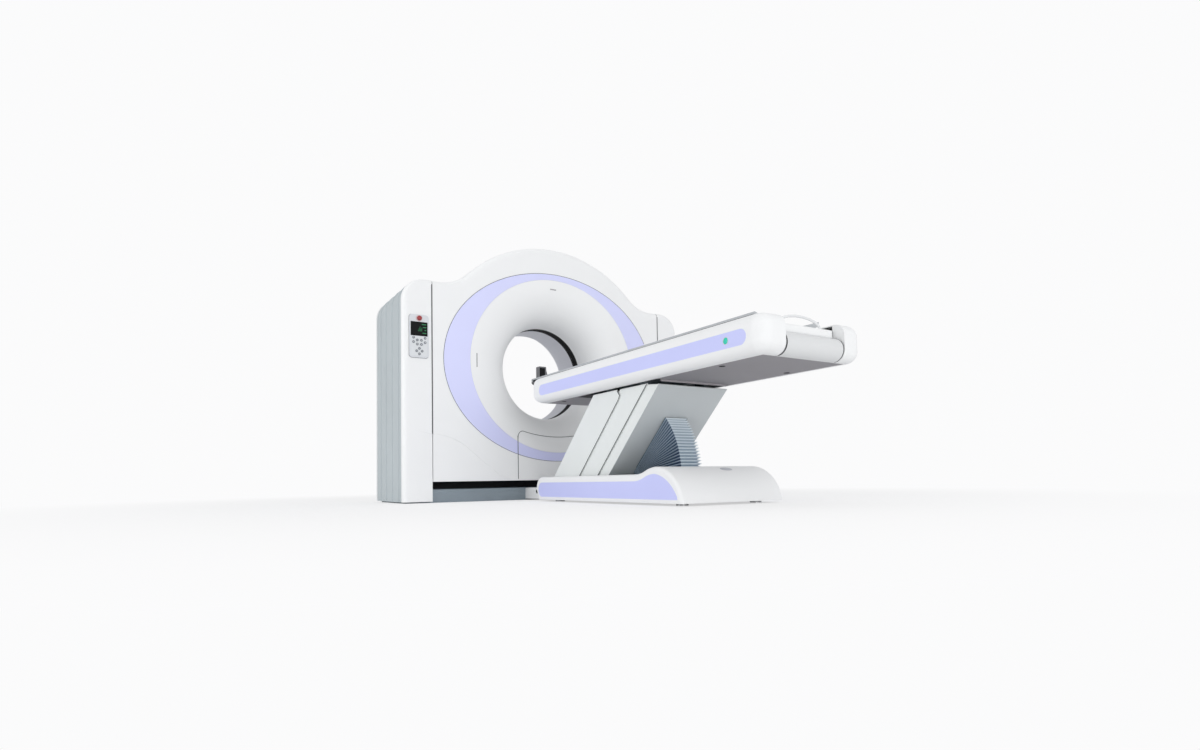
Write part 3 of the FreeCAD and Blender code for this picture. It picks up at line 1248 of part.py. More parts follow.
def make_head_fitting():
    """Socket block for head supports, framed, with a slanted foot on its right."""
    x, y0, z0 = -143, CRADLE_FRONT_Y - 90, CRADLE_RIM_Z + 4
    y1, high = y0 + 42, z0 + 86
    frame = rounded_slab_y(x - 30, x + 30, z0, high, y0, y1, 6)
    frame = frame.cut(box(x - 23, x + 23, y0 - 1, y0 + 12, z0 + 8, high - 8))
    gusset = slab_y([(x + 29, z0), (x + 50, z0), (x + 29, high - 10)], y0 + 4, y1)
    foot = box(x - 20, x + 45, y0 + 5, y1, CRADLE_RIM_Z - CRADLE_SAG + 13, z0 + 1)
    return frame.fuse([gusset, foot.cut(make_cradle_board())])


# ---------------------------------------------------------------- export
PARTS = [name[5:] for name in sorted(globals()) if name.startswith("make_")]

os.makedirs("parts", exist_ok=True)
for node in PARTS:
    shape = globals()["make_" + node]()
    shape.exportStep("parts/" + node + ".step")
print(len(PARTS), "pieces")
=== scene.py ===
# %% [markdown]
# # A hospital CT scanner, dressed for the camera
# The imported model brings every rigid piece in its real size. This script adds what a CAD file
# leaves out: paint and plastic that look like themselves, the soft fan bellows, painted shade in
# thin seams, screws, plugs, key marks and the indicator lights. All of it is measured in metres.

# %% Load the model
import json
import math

import bmesh
import bpy
from mathutils import Matrix, Vector


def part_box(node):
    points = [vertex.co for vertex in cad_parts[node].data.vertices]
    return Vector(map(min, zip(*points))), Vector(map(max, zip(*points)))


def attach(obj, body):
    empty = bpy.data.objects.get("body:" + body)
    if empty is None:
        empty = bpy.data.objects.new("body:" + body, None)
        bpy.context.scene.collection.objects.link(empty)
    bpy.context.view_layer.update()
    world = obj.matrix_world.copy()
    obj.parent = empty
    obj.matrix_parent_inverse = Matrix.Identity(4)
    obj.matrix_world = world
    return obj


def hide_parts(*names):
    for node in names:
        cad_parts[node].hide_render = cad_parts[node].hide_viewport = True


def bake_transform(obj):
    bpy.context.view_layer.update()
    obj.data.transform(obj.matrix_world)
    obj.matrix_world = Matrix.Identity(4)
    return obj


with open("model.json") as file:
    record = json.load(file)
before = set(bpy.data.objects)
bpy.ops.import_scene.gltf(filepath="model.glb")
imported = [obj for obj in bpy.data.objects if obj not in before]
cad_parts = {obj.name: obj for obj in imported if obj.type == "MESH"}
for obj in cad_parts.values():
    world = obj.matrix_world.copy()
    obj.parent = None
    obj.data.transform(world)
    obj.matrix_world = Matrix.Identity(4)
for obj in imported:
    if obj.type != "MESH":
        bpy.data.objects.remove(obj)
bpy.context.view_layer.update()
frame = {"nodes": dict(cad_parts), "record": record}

# %% [markdown]
# ## The camera
# The photograph was taken close to the floor with a wide lens, so near things loom large. Its
# place is given as a point, two angles of aim and a small roll; the lens is shifted upward a
# little, the way an architect's camera is, which keeps the upright lines upright.

# %% Camera
CAMERA_PLACE = Vector((-2.346, -4.579, 0.132))
CAMERA_TURN, CAMERA_TILT, CAMERA_ROLL = 0.565, 0.045, -0.017   # radians
LENS_MM, SENSOR_MM, LENS_SHIFT = 19.99, 36.0, 0.0625


def aim(turn, tilt, roll):
    """Right, up and forward directions of a camera."""
    forward = Vector((math.sin(turn) * math.cos(tilt), math.cos(turn) * math.cos(tilt), math.sin(tilt)))
    right = Vector((math.cos(turn), -math.sin(turn), 0))
    up = right.cross(forward)
    tipped_right = math.cos(roll) * right + math.sin(roll) * up
    return tipped_right, math.cos(roll) * up - math.sin(roll) * right, forward


camera_data = bpy.data.cameras.new("camera")
camera_data.lens = LENS_MM
camera_data.sensor_width = SENSOR_MM
camera_data.shift_y = LENS_SHIFT
camera = bpy.data.objects.new("camera", camera_data)
bpy.context.scene.collection.objects.link(camera)
right, up, forward = aim(CAMERA_TURN, CAMERA_TILT, CAMERA_ROLL)
camera.matrix_world = Matrix.Translation(CAMERA_PLACE) @ Matrix((right, up, -forward)).transposed().to_4x4()
bpy.context.scene.camera = camera
print("camera stands", round(CAMERA_PLACE.z, 3), "m above the floor")

# %% [markdown]
# ## Finishes
# Every material is built the same way: one slow noise shifts the colour a touch, as sprayed
# paint does, one fine noise roughens the surface, and a bump gives the grain its height. What
# differs is the colour, the gloss and the size of the grain. A painted picture would do too, but
# noise needs no picture, has no edge to hide and stays sharp when the camera comes near.

# %% Material helpers
SLOW_SCALE = 2.3                # how close together the drifts of tone lie
BUMP_STRENGTH = 0.35
COAT_ROUGH = 0.12               # roughness of every clear coat
GLOSS_LOW, GLOSS_HIGH = 0.9, 1.15   # the grain moves the roughness between these shares of it


def node_of(tree, kind, **values):
    """New node with its sockets, or its own settings, set by name."""
    node = tree.nodes.new(kind)
    for name, value in values.items():
        if name in node.inputs:
            node.inputs[name].default_value = value
        else:
            setattr(node, name, value)
    return node


def chain(tree, *steps):
    """Links nodes one after another; each step is (from node, output, to node, input)."""
    for source, out, target, into in steps:
        tree.links.new(source.outputs[out], target.inputs[into])


def ramp_of(tree, low, high, dark, light):
    """Colour ramp from dark at `low` to light at `high`."""
    ramp = tree.nodes.new("ShaderNodeValToRGB")
    ramp.color_ramp.elements[0].position, ramp.color_ramp.elements[1].position = low, high
    ramp.color_ramp.elements[0].color = [*dark, 1]
    ramp.color_ramp.elements[1].color = [*light, 1]
    return ramp


def finish_of(name, colour, rough, metal=0.0, grain=250.0, depth=0.0002, vary=0.03, coat=0.0,
              stretch=(1, 1, 1), shine=0.5):
    """Paint, plastic or metal with a slow tone drift and a fine grain of the given height in m."""
    material = bpy.data.materials.new(name)
    material.use_nodes = True
    tree = material.node_tree
    shader = tree.nodes["Principled BSDF"]
    shader.inputs["Metallic"].default_value = metal
    shader.inputs["Specular IOR Level"].default_value = shine
    shader.inputs["Coat Weight"].default_value = coat
    shader.inputs["Coat Roughness"].default_value = COAT_ROUGH
    place = tree.nodes.new("ShaderNodeTexCoord")
    mapping = node_of(tree, "ShaderNodeMapping", Scale=stretch)
    slow = node_of(tree, "ShaderNodeTexNoise", Scale=SLOW_SCALE, Detail=3.0)
    fine = node_of(tree, "ShaderNodeTexNoise", Scale=grain, Detail=2.0)
    dark = [c * (1 - vary) for c in colour]
    light = [min(1, c * (1 + vary)) for c in colour]
    ramp = ramp_of(tree, 0.3, 0.7, dark, light)
    gloss = node_of(tree, "ShaderNodeMapRange",
                    **{"To Min": rough * GLOSS_LOW, "To Max": min(1, rough * GLOSS_HIGH)})
    bump = node_of(tree, "ShaderNodeBump", Strength=BUMP_STRENGTH, Distance=depth)
    chain(tree, (place, "Object", mapping, "Vector"), (mapping, "Vector", slow, "Vector"),
          (mapping, "Vector", fine, "Vector"), (slow, "Fac", ramp, "Fac"),
          (ramp, "Color", shader, "Base Color"), (fine, "Fac", gloss, "Value"),
          (gloss, "Result", shader, "Roughness"), (fine, "Fac", bump, "Height"),
          (bump, "Normal", shader, "Normal"))
    return material


print("material helpers ready")

# %% The scanner's finishes
WHITE, LAVENDER, BLUE = (0.86, 0.868, 0.87), (0.66, 0.68, 0.965), (0.59, 0.62, 0.97)
finishes = {
    "white_shell": finish_of("white enamel", WHITE, 0.5, grain=420, depth=0.0001, vary=0.012, coat=0.03),
    "lavender_trim": finish_of("lavender trim", LAVENDER, 0.38, grain=420, depth=0.0001, vary=0.015,
                               coat=0.15),
    "blue_stripe": finish_of("pale blue inlay", BLUE, 0.36, grain=420, depth=0.0001, vary=0.015, coat=0.15),
    "grey_panel": finish_of("grey side paint", (0.47, 0.52, 0.54), 0.48, grain=300, vary=0.03),
    "frame_paint": finish_of("frame paint", (0.25, 0.30, 0.34), 0.5, grain=260, depth=0.0003, vary=0.05),
    "arm_sheet": finish_of("arm sheet paint", (0.80, 0.83, 0.82), 0.4, grain=360, depth=0.0001, vary=0.02,
                           coat=0.1),
    "dark_plastic": finish_of("dark moulding", (0.008, 0.008, 0.010), 0.6, grain=500, vary=0.1,
                              shine=0.2),
    "grey_plastic": finish_of("pale grey moulding", (0.68, 0.70, 0.73), 0.45, grain=500, vary=0.02),
    "silver_liner": finish_of("silver liner", (0.64, 0.65, 0.70), 0.42, grain=380, depth=0.0001, vary=0.02),
    "bare_steel": finish_of("turned steel", (0.55, 0.55, 0.56), 0.32, metal=1, grain=180, vary=0.05,
                            stretch=(8, 1, 1)),
    # The frame's paint is made near black: partly the frame's own dark paint, partly painted shade for the
    # dark inside under the covers.
    "cast_frame": finish_of("cast iron paint and painted shade", (0.012, 0.012, 0.016), 0.6, grain=120, depth=0.0008, vary=0.1),
    "aluminium": finish_of("anodised aluminium", (0.66, 0.67, 0.69), 0.35, metal=1, grain=220, vary=0.03),
    "brass_rings": finish_of("brass", (0.66, 0.46, 0.18), 0.3, metal=1, grain=200, vary=0.05),
    "belt_rubber": finish_of("belt rubber", (0.02, 0.02, 0.02), 0.7, grain=200, depth=0.0005, vary=0.1),
    "bellows_skin": finish_of("bellows cloth", (0.17, 0.25, 0.33), 0.6, grain=900, depth=0.0003, vary=0.08),
    "window_film": finish_of("window film", (0.002, 0.002, 0.003), 0.65, grain=300, depth=0.00005,
                             vary=0.05, shine=0.12),
    "laser_lens": finish_of("laser lens", (0.36, 0.34, 0.36), 0.25, grain=300, depth=0.00005, vary=0.05),
    "display_glass": finish_of("display glass", (0.003, 0.004, 0.004), 0.5, grain=300, depth=0.00003,
                               vary=0.05, shine=0.15),
    "red_button": finish_of("red button", (0.30, 0.006, 0.010), 0.35, grain=300, depth=0.00005, vary=0.03,
                            coat=0.1),
    "chrome_tube": finish_of("bright tube", (0.78, 0.79, 0.80), 0.25, grain=200, depth=0.00003, vary=0.02,
                             coat=0.5),
}
print("plain finishes:", len(finishes))

# %% [markdown]
# ### Two finishes with a pattern
# The keypad is one soft sheet whose round keys stand proud of it. The sheet is pale and the keys are grey,
# and because both are one piece, the material looks at how far forward a point is. Two materials would do as
# well, but each face would have to be given its own. The cradle is a woven laminate: two sets of fine
# diagonal bands cross, as the fibres of a twill do, and where it looks down it is near black, as painted
# shade. The arm's rear sheet is also darker where it looks down, as painted shade.

# %% Keypad rubber and cradle laminate
KEY_STEP_Y = -0.3152            # points in front of this plane belong to a key
# Faces that look down more than this get painted shade on the cradle and on the arm's rear sheet.
LOOKS_DOWN = -0.3               # a face whose upward share is less than this looks down
WEAVE_SCALE = 120.0             # how fine the bands of the weave are


def recoloured(material, output, axis, limit, colour):
    """Another colour wherever the point, or the way its face looks, is below a limit on one axis."""
    tree = material.node_tree
    shader = tree.nodes["Principled BSDF"]
    usual = shader.inputs["Base Color"].links[0].from_socket
    place = tree.nodes.new("ShaderNodeTexCoord")
    split = tree.nodes.new("ShaderNodeSeparateXYZ")
    is_below = node_of(tree, "ShaderNodeMath", operation="LESS_THAN")
    is_below.inputs[1].default_value = limit
    mix = node_of(tree, "ShaderNodeMix", data_type="RGBA")
    mix.inputs[7].default_value = (*colour, 1)
    chain(tree, (place, output, split, "Vector"), (split, axis, is_below, 0), (is_below, 0, mix, 0),
          (mix, 2, shader, "Base Color"))
    tree.links.new(usual, mix.inputs[6])
    return material


def carbon_laminate():
    material = finish_of("cradle laminate with painted shade", (0.1, 0.1, 0.1), 0.38, grain=500, depth=0.0001, coat=0.3)
    tree = material.node_tree
    shader = tree.nodes["Principled BSDF"]
    place = tree.nodes.new("ShaderNodeTexCoord")
    bands = []
    for turn in (math.pi / 4, -math.pi / 4):
        mapping = node_of(tree, "ShaderNodeMapping", Rotation=(0, 0, turn))
        wave = node_of(tree, "ShaderNodeTexWave", Scale=WEAVE_SCALE, Distortion=0.3)
        chain(tree, (place, "Object", mapping, "Vector"), (mapping, "Vector", wave, "Vector"))
        bands.append(wave)
    weave = node_of(tree, "ShaderNodeMath", operation="MULTIPLY")
    ramp = ramp_of(tree, 0.0, 0.8, (0.46, 0.48, 0.50), (0.60, 0.62, 0.64))
    chain(tree, (bands[0], "Fac", weave, 0), (bands[1], "Fac", weave, 1), (weave, 0, ramp, "Fac"),
          (ramp, "Color", shader, "Base Color"))
    # Painted shade: the cradle's faces that look down turn near black.
    return recoloured(material, "Normal", "Z", LOOKS_DOWN, (0.045, 0.047, 0.05))


key_sheet = finish_of("key rubber", (0.72, 0.74, 0.76), 0.6, grain=700, depth=0.0001, vary=0.02)
finishes["key_rubber"] = recoloured(key_sheet, "Object", "Y", KEY_STEP_Y, (0.20, 0.22, 0.24))
finishes["cradle_board"] = carbon_laminate()
rear_sheet_with_shade = finish_of("rear arm sheet with painted shade", (0.80, 0.83, 0.82), 0.4, grain=360, depth=0.0001, vary=0.02,
                       coat=0.1)
own_finish = {
    # The underside's grey paint is made darker still, as painted shade under the table.
    "underside_cover": finish_of("underside paint with painted shade", (0.26, 0.25, 0.27), 0.55, grain=300, vary=0.03),
    # The end cap's white is made greyer, as painted shade on the rounded end of the table.
    "end_cover": finish_of("end cap enamel with painted shade", (0.70, 0.71, 0.715), 0.4, grain=420, depth=0.0001,
                           vary=0.012, coat=0.1),
    "head_fitting": finish_of("head rest moulding", (0.20, 0.20, 0.21), 0.6, grain=300, shine=0.2),
    # The arm's rear sheet is darker where it looks down: painted shade.
    "arm_cover_rear": recoloured(rear_sheet_with_shade, "Normal", "Z", LOOKS_DOWN, (0.60, 0.635, 0.645)),
    "bridge_cover": finish_of("bridge enamel", WHITE, 0.45, grain=420, depth=0.0001, vary=0.012),
}
print("finishes:", len(finishes))

# %% [markdown]
# ### Smooth shading by angle
# A CAD mesh is a set of flat facets. A small node modifier joins them for shading only: facets
# that meet at a shallow angle blend into one curve, and real edges stay crisp.

# %% Shade the CAD pieces
SMOOTH_ANGLE = math.radians(28)


def smooth_by_angle():
    """Node modifier that merges doubled corners and keeps only real edges sharp."""
    tree = bpy.data.node_groups.new("smooth_by_angle", "GeometryNodeTree")
    tree.interface.new_socket("Geometry", in_out="INPUT", socket_type="NodeSocketGeometry")
    tree.interface.new_socket("Geometry", in_out="OUTPUT", socket_type="NodeSocketGeometry")
    start, end = tree.nodes.new("NodeGroupInput"), tree.nodes.new("NodeGroupOutput")
    merge = node_of(tree, "GeometryNodeMergeByDistance", Distance=0.00003)
    smooth = node_of(tree, "GeometryNodeSetShadeSmooth", domain="FACE")
    sharp = node_of(tree, "GeometryNodeSetShadeSmooth", domain="EDGE")
    sharp.inputs["Shade Smooth"].default_value = False
    angle = tree.nodes.new("GeometryNodeInputMeshEdgeAngle")
    steep = node_of(tree, "FunctionNodeCompare", data_type="FLOAT", operation="GREATER_THAN")
    steep.inputs[1].default_value = SMOOTH_ANGLE
    chain(tree, (start, 0, merge, "Geometry"), (merge, "Geometry", smooth, "Geometry"),
          (smooth, "Geometry", sharp, "Geometry"), (sharp, "Geometry", end, 0),
          (angle, "Unsigned Angle", steep, 0), (steep, "Result", sharp, "Selection"))
    return tree


shading = smooth_by_angle()
slot_of = {row["node"]: row["material_slot"] for row in frame["record"]["subparts"]}
for name, obj in frame["nodes"].items():
    obj.data.materials.clear()
    obj.data.materials.append(own_finish.get(name) or finishes[slot_of[name]])
    obj.modifiers.new("smooth by angle", "NODES").node_group = shading
print("dressed CAD pieces:", len(slot_of))

# %% [markdown]
# ## Helpers for new pieces
# Each new piece is a bmesh that becomes a mesh at the origin, rides on one body of the model and
# takes its finish from a named slot. Round details are turned like wood on a lathe: a profile is
# spun about an axis. Thin dark lines of painted shade where covers meet are cut from a copy of the
# cover's own face, so they follow it exactly.

# %% Helpers
OUT = {"-y": Vector((0, -1, 0)), "+y": Vector((0, 1, 0)), "-x": Vector((-1, 0, 0)),
       "+x": Vector((1, 0, 0)), "-z": Vector((0, 0, -1)), "+z": Vector((0, 0, 1))}
SAME_POINT = 2e-5               # corners of a CAD mesh nearer than this are one corner


def make_piece(bm, name, body, slot, material=None, smooth=False, moving=True):
    """Turns a bmesh into a piece of the object and clears the bmesh."""
    bmesh.ops.recalc_face_normals(bm, faces=bm.faces)
    mesh = bpy.data.meshes.new(name)
    bm.to_mesh(mesh)
    bm.free()
    mesh.materials.append(material or finishes[slot])
    if smooth:
        mesh.shade_smooth()
    piece = bpy.data.objects.new(name, mesh)
    bpy.context.scene.collection.objects.link(piece)
    if moving:
        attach(piece, body)
    return piece


def turned(bm, profile, place, facing, steps=24):
    """Lathe work: profile is (radius, height) from the middle out, facing says which way it looks."""
    for v in bm.verts:
        v.tag = True
    verts = [bmesh.ops.create_vert(bm, co=(r, 0, h))["vert"][0] for r, h in profile]
    edges = [bm.edges.new(pair) for pair in zip(verts, verts[1:])]
    bmesh.ops.spin(bm, geom=verts + edges, cent=(0, 0, 0), axis=(0, 0, 1), angle=math.tau, steps=steps,
                   use_merge=True)
    bmesh.ops.remove_doubles(bm, verts=[v for v in bm.verts if not v.tag], dist=1e-6)
    rims = [e for e in bm.edges if e.is_boundary and not e.verts[0].tag]
    bmesh.ops.holes_fill(bm, edges=rims, sides=0)
    turn = Vector((0, 0, 1)).rotation_difference(facing).to_matrix().to_4x4()
    bmesh.ops.transform(bm, matrix=Matrix.Translation(place) @ turn,
                        verts=[v for v in bm.verts if not v.tag])


def block(bm, low, high, bevel=0.0):
    """Box between two corners with its edges eased."""
    low, high = Vector(low), Vector(high)
    middle, size = (low + high) / 2, high - low
    matrix = Matrix.Translation(middle) @ Matrix.Diagonal((*size, 1))
    made = bmesh.ops.create_cube(bm, size=1, matrix=matrix)["verts"]
    if bevel:
        edges = list({e for v in made for e in v.link_edges})
        bmesh.ops.bevel(bm, geom=edges, offset=bevel, segments=2, profile=0.5, affect="EDGES",
                        material=-1)


def new_verts(geom):
    """The vertices in what an extrusion returned."""
    return [g for g in geom if isinstance(g, bmesh.types.BMVert)]


def face_outline(node, facing, width, proud=0.0006, keep=None, near=None, flat=0.999):
    """Ribbon along the rim of a cover's face, cut from a copy of that face.

    near picks the faces by their middle, keep picks the stretch of rim, proud is its thickness,
    and flat says how straight at the viewer a face has to look."""
    bm = bmesh.new()
    bm.from_mesh(frame["nodes"][node].data)
    bmesh.ops.remove_doubles(bm, verts=bm.verts, dist=SAME_POINT)
    out = OUT[facing]
    away = [f for f in bm.faces
            if f.normal.dot(out) < flat or (near and not near(f.calc_center_median()))]
    bmesh.ops.delete(bm, geom=away, context="FACES")
    inner = list(bm.faces)
    bmesh.ops.inset_region(bm, faces=inner, thickness=width, depth=0, use_boundary=True,
                           use_even_offset=True)
    bmesh.ops.delete(bm, geom=[f for f in inner if f.is_valid], context="FACES")
    if keep:
        bmesh.ops.delete(bm, geom=[f for f in bm.faces if not keep(f.calc_center_median())],
                         context="FACES")
    raised = bmesh.ops.extrude_face_region(bm, geom=list(bm.faces), use_keep_orig=True)["geom"]
    bmesh.ops.translate(bm, vec=out * proud, verts=new_verts(raised))
    return bm


print("helpers ready")

# %% [markdown]
# ## The fan bellows
# Between the back of the lifting arm and its base a bellows folds like an open fan, and closes as
# the table comes down. It is pleated cloth on thin frames. A rectangle is spun about the hinge
# line, every second frame is drawn in to make the folds, and the outer folds get pale strips along
# their ridges by bevelling those edges, a painted highlight; the cloth darkens toward the bottom of
# each fold as painted shade. A cloth simulation could fold it too, but spun frames give even
# folds, and the same ones on every run. Its end frames ride on the base and the arm; the cloth
# itself stays where it is.

# %% Bellows cloth
HINGE = Vector((0, -1.351, 0.1605))
FAN_LOW, FAN_HIGH = math.radians(2), math.radians(43)   # angles of the first and last frame
FAN_NEAR, FAN_FAR, FAN_HALF = 0.020, 0.452, 0.075       # reach from the hinge line, half width
FAN_FOLDS, FOLD_DEPTH = 18, 0.018
CLOTH = 0.0012                                          # thickness of the cloth
FAN_STEPS = 2 * FAN_FOLDS
RIDGE_HIGHLIGHT_HALF = 0.0013                                           # half width of the pale strip of painted highlight on each outer ridge

bm = bmesh.new()
bmesh.ops.create_circle(bm, segments=4, radius=math.sqrt(0.5), cap_ends=False,
                        matrix=Matrix.Rotation(math.pi / 4, 4, "Z"))
bmesh.ops.scale(bm, vec=(2 * FAN_HALF, FAN_FAR - FAN_NEAR, 1), verts=bm.verts)
bmesh.ops.translate(bm, vec=(0, -(FAN_FAR + FAN_NEAR) / 2, 0), verts=bm.verts)
bmesh.ops.rotate(bm, cent=(0, 0, 0), matrix=Matrix.Rotation(-FAN_LOW, 3, "X"), verts=bm.verts)
near_side = [e for e in bm.edges if max(v.co.yz.length for v in e.verts) < FAN_FAR / 2]
bmesh.ops.delete(bm, geom=near_side, context="EDGES")
bmesh.ops.spin(bm, geom=list(bm.verts) + list(bm.edges), cent=(0, 0, 0), axis=(1, 0, 0),
               angle=-(FAN_HIGH - FAN_LOW), steps=FAN_STEPS, use_merge=False)


def fan_share(vert):
    """0 on the first frame of the fan, 1 on the last."""
    return (math.atan2(vert.co.z, -vert.co.y) - FAN_LOW) / (FAN_HIGH - FAN_LOW)


def frame_number(vert):
    return round(fan_share(vert) * FAN_STEPS)


def ridge_share(vert):
    """1 on a frame that stands out, 0 in the bottom of a fold."""
    return abs(fan_share(vert) * FAN_FOLDS % 1 - 0.5) * 2


def pleated_cloth(name, fold_shade, ridge, low):
    """Cloth that darkens toward the bottom of each fold, as painted shade; low is where it's at its darkest.
    """
    material = finish_of(name, ridge, 0.6, grain=900, depth=0.0002, vary=0.02)
    tree = material.node_tree
    fold_here = node_of(tree, "ShaderNodeAttribute", attribute_name="fold")
    shade = ramp_of(tree, low, 0.95, fold_shade, ridge)
    chain(tree, (fold_here, "Fac", shade, "Fac"),
          (shade, "Color", tree.nodes["Principled BSDF"], "Base Color"))
    return material


folded = [v for v in bm.verts if frame_number(v) % 2]
bmesh.ops.scale(bm, vec=((FAN_HALF - FOLD_DEPTH) / FAN_HALF, 1, 1), verts=folded)
draw_in = (FAN_FAR - FOLD_DEPTH) / FAN_FAR
outer_folded = [v for v in folded if v.co.yz.length > FAN_FAR / 2]
bmesh.ops.scale(bm, vec=(1, draw_in, draw_in), verts=outer_folded)
ridges = [e for e in bm.edges
          if frame_number(e.verts[0]) == frame_number(e.verts[1]) and frame_number(e.verts[0]) % 2 == 0
          and max(v.co.yz.length for v in e.verts) > FAN_FAR / 2]
highlighted_ridges = bmesh.ops.bevel(bm, geom=ridges, offset=RIDGE_HIGHLIGHT_HALF, segments=2, profile=0.5, affect="EDGES", material=-1)
# The bevelled strips along the outer ridges take a pale colour: a painted highlight.
for face in highlighted_ridges["faces"]:
    face.material_index = 1
for face in bm.faces:
    on_rear = min(v.co.yz.length for v in face.verts) > FAN_FAR - 2 * FOLD_DEPTH
    if face.material_index == 0 and on_rear:
        face.material_index = 2
bmesh.ops.recalc_face_normals(bm, faces=bm.faces)
bmesh.ops.solidify(bm, geom=list(bm.faces), thickness=CLOTH)
fold = bm.verts.layers.float.new("fold")
for vert in bm.verts:
    vert[fold] = ridge_share(vert)
bmesh.ops.translate(bm, vec=HINGE, verts=bm.verts)
# The dark valley colours are painted shade in the folds; the ridge colours are the cloth's own.
side_cloth = pleated_cloth("side cloth", (0.05, 0.09, 0.16), (0.42, 0.52, 0.62), 0.45)
ridge_highlight = finish_of("painted ridge highlight", (0.60, 0.68, 0.75), 0.5, grain=700, depth=0.0001)
rear_cloth = pleated_cloth("rear cloth", (0.34, 0.42, 0.50), (0.84, 0.91, 0.95), 0.25)
fan_cloth = make_piece(bm, "fan_bellows_cloth", "base", "bellows_skin", side_cloth, moving=False)
fan_cloth.data.materials.append(ridge_highlight)
fan_cloth.data.materials.append(rear_cloth)
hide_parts("fan_bellows")
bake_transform(fan_cloth)
print("bellows faces:", len(fan_cloth.data.polygons))

# %% Bellows end frames
# The first and last folds are clamped in flat frames, a finger wider than the cloth. They're open
# in the middle, where the lifting actuator passes, and the lower one is short, because the upper
# one dips past it when the table comes down.
FRAME_THICK, FRAME_EDGE, FRAME_LEG = 0.002, 0.003, 0.014
TOP_REACH, FOOT_REACH = 0.060, 0.408    # how near the hinge line the legs come


def end_frame(name, body, angle, near):
    """Fork lying on the fan's frame at this angle, whose legs come this near to the hinge line."""
    bm = bmesh.new()
    bmesh.ops.create_grid(bm, x_segments=3, y_segments=2, size=1)
    for v in bm.verts:
        outer = abs(v.co.x) > 0.9
        half = FAN_HALF + FRAME_EDGE - (0 if outer else FRAME_LEG)
        v.co.x = math.copysign(half, v.co.x)
        v.co.y = {-1: -FAN_FAR, 0: -FAN_FAR + FRAME_LEG, 1: -near}[round(v.co.y)]
    centres = {f: f.calc_center_median() for f in bm.faces}
    gap = [f for f, c in centres.items() if abs(c.x) < FRAME_LEG and c.y > -FAN_FAR + FRAME_LEG]
    bmesh.ops.delete(bm, geom=gap, context="FACES")
    plate = bmesh.ops.extrude_face_region(bm, geom=list(bm.faces), use_keep_orig=True)["geom"]
    bmesh.ops.translate(bm, vec=(0, 0, FRAME_THICK), verts=new_verts(plate))
    bmesh.ops.rotate(bm, cent=(0, 0, 0), matrix=Matrix.Rotation(-angle, 3, "X"), verts=bm.verts)
    bmesh.ops.translate(bm, vec=HINGE, verts=bm.verts)
    make_piece(bm, name, body, "bellows_skin",
               finish_of(name.replace("_", " "), (0.10, 0.15, 0.20), 0.45, grain=300))


end_frame("bellows_top_plate", "rear_arm", FAN_HIGH, TOP_REACH)
end_frame("bellows_foot_plate", "base", FAN_LOW, FOOT_REACH)
print("bellows end frames: 2")

# %% [markdown]
# ## Seams
# Covers never quite touch, and from a few metres away each gap is a fine dark line of shade. The
# gaps are in the model, but white walls fill them with light, so a dark strip of painted shade is
# laid along each: on the front of both columns, round the service panel, round the coloured ring,
# and down the back edge of the two front arm covers. A line drawn from points would stray from the
# cover when its shape changes, so most of these strips are a narrow inset of the cover's own face.

# %% Painted gap shade on the gantry
# These two dark materials are painted shade, standing in for the dark of the gaps between covers.
shade_line = finish_of("painted gap shade", (0.05, 0.055, 0.06), 0.7, grain=300, vary=0.08)
pale_gap_shade = finish_of("grey painted gap shade", (0.09, 0.095, 0.11), 0.7, grain=300, vary=0.08)
FRONT_FACE_Y = -0.302           # faces in front of this plane belong to the gantry's front
COLUMN_SHADE_LINE, PANEL_SHADE_LINE, RING_SHADE_LINE, ARM_SHADE_LINE = 0.004, 0.0036, 0.0026, 0.0065   # widths of the lines
COLUMN_INNER_X = 0.941          # the rim of a column nearer the middle than this is its inner edge
COLUMN_FOOT_Z = 0.02            # the rim lower than this is its foot edge
PANEL_SEAM_X, PANEL_SEAM_HALF = 0.3195, 0.0022              # side gap of the service panel
PANEL_SEAM_FOOT, PANEL_SEAM_TOP, PANEL_BEND_Z = 0.150, 0.455, 0.44
PANEL_SEAM_FRONT, PANEL_SEAM_BACK = -0.3038, -0.3015
RING_LINE = 0.975               # share of the ring's half sizes beyond which its rim is the outer one

# Each column front gets a line of painted shade along its inner edge and its foot.
for side in ("left", "right"):
    bm = face_outline(f"{side}_column_front", "-y", COLUMN_SHADE_LINE, near=lambda c: c.y < FRONT_FACE_Y,
                      keep=lambda c: abs(c.x) < COLUMN_INNER_X and c.z > COLUMN_FOOT_Z)
    make_piece(bm, f"{side}_seam_shade_line", "base", "dark_plastic", shade_line)
# The service panel's rim and its two side gaps get lines of painted shade.
bm = face_outline("service_panel", "-y", PANEL_SHADE_LINE, proud=0.0009, flat=0.85,
                  keep=lambda c: c.z > PANEL_BEND_Z)
for x in (-PANEL_SEAM_X, PANEL_SEAM_X):
    block(bm, (x - PANEL_SEAM_HALF, PANEL_SEAM_FRONT, PANEL_SEAM_FOOT),
          (x + PANEL_SEAM_HALF, PANEL_SEAM_BACK, PANEL_SEAM_TOP))
make_piece(bm, "service_panel_shade_line", "gantry", "dark_plastic", shade_line)
ring_low, ring_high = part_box("ring_trim")


def on_outer_rim(c):
    across = c.x / ring_high.x
    along = (c.z - (ring_low.z + ring_high.z) / 2) / ((ring_high.z - ring_low.z) / 2)
    return math.hypot(across, along) > RING_LINE


# The ring's outer seam gets a grey line of painted shade.
bm = face_outline("ring_trim", "-y", RING_SHADE_LINE, near=lambda c: c.y < FRONT_FACE_Y, keep=on_outer_rim)
make_piece(bm, "ring_outer_line", "gantry", "dark_plastic", pale_gap_shade)
print("gantry shade lines: 4")

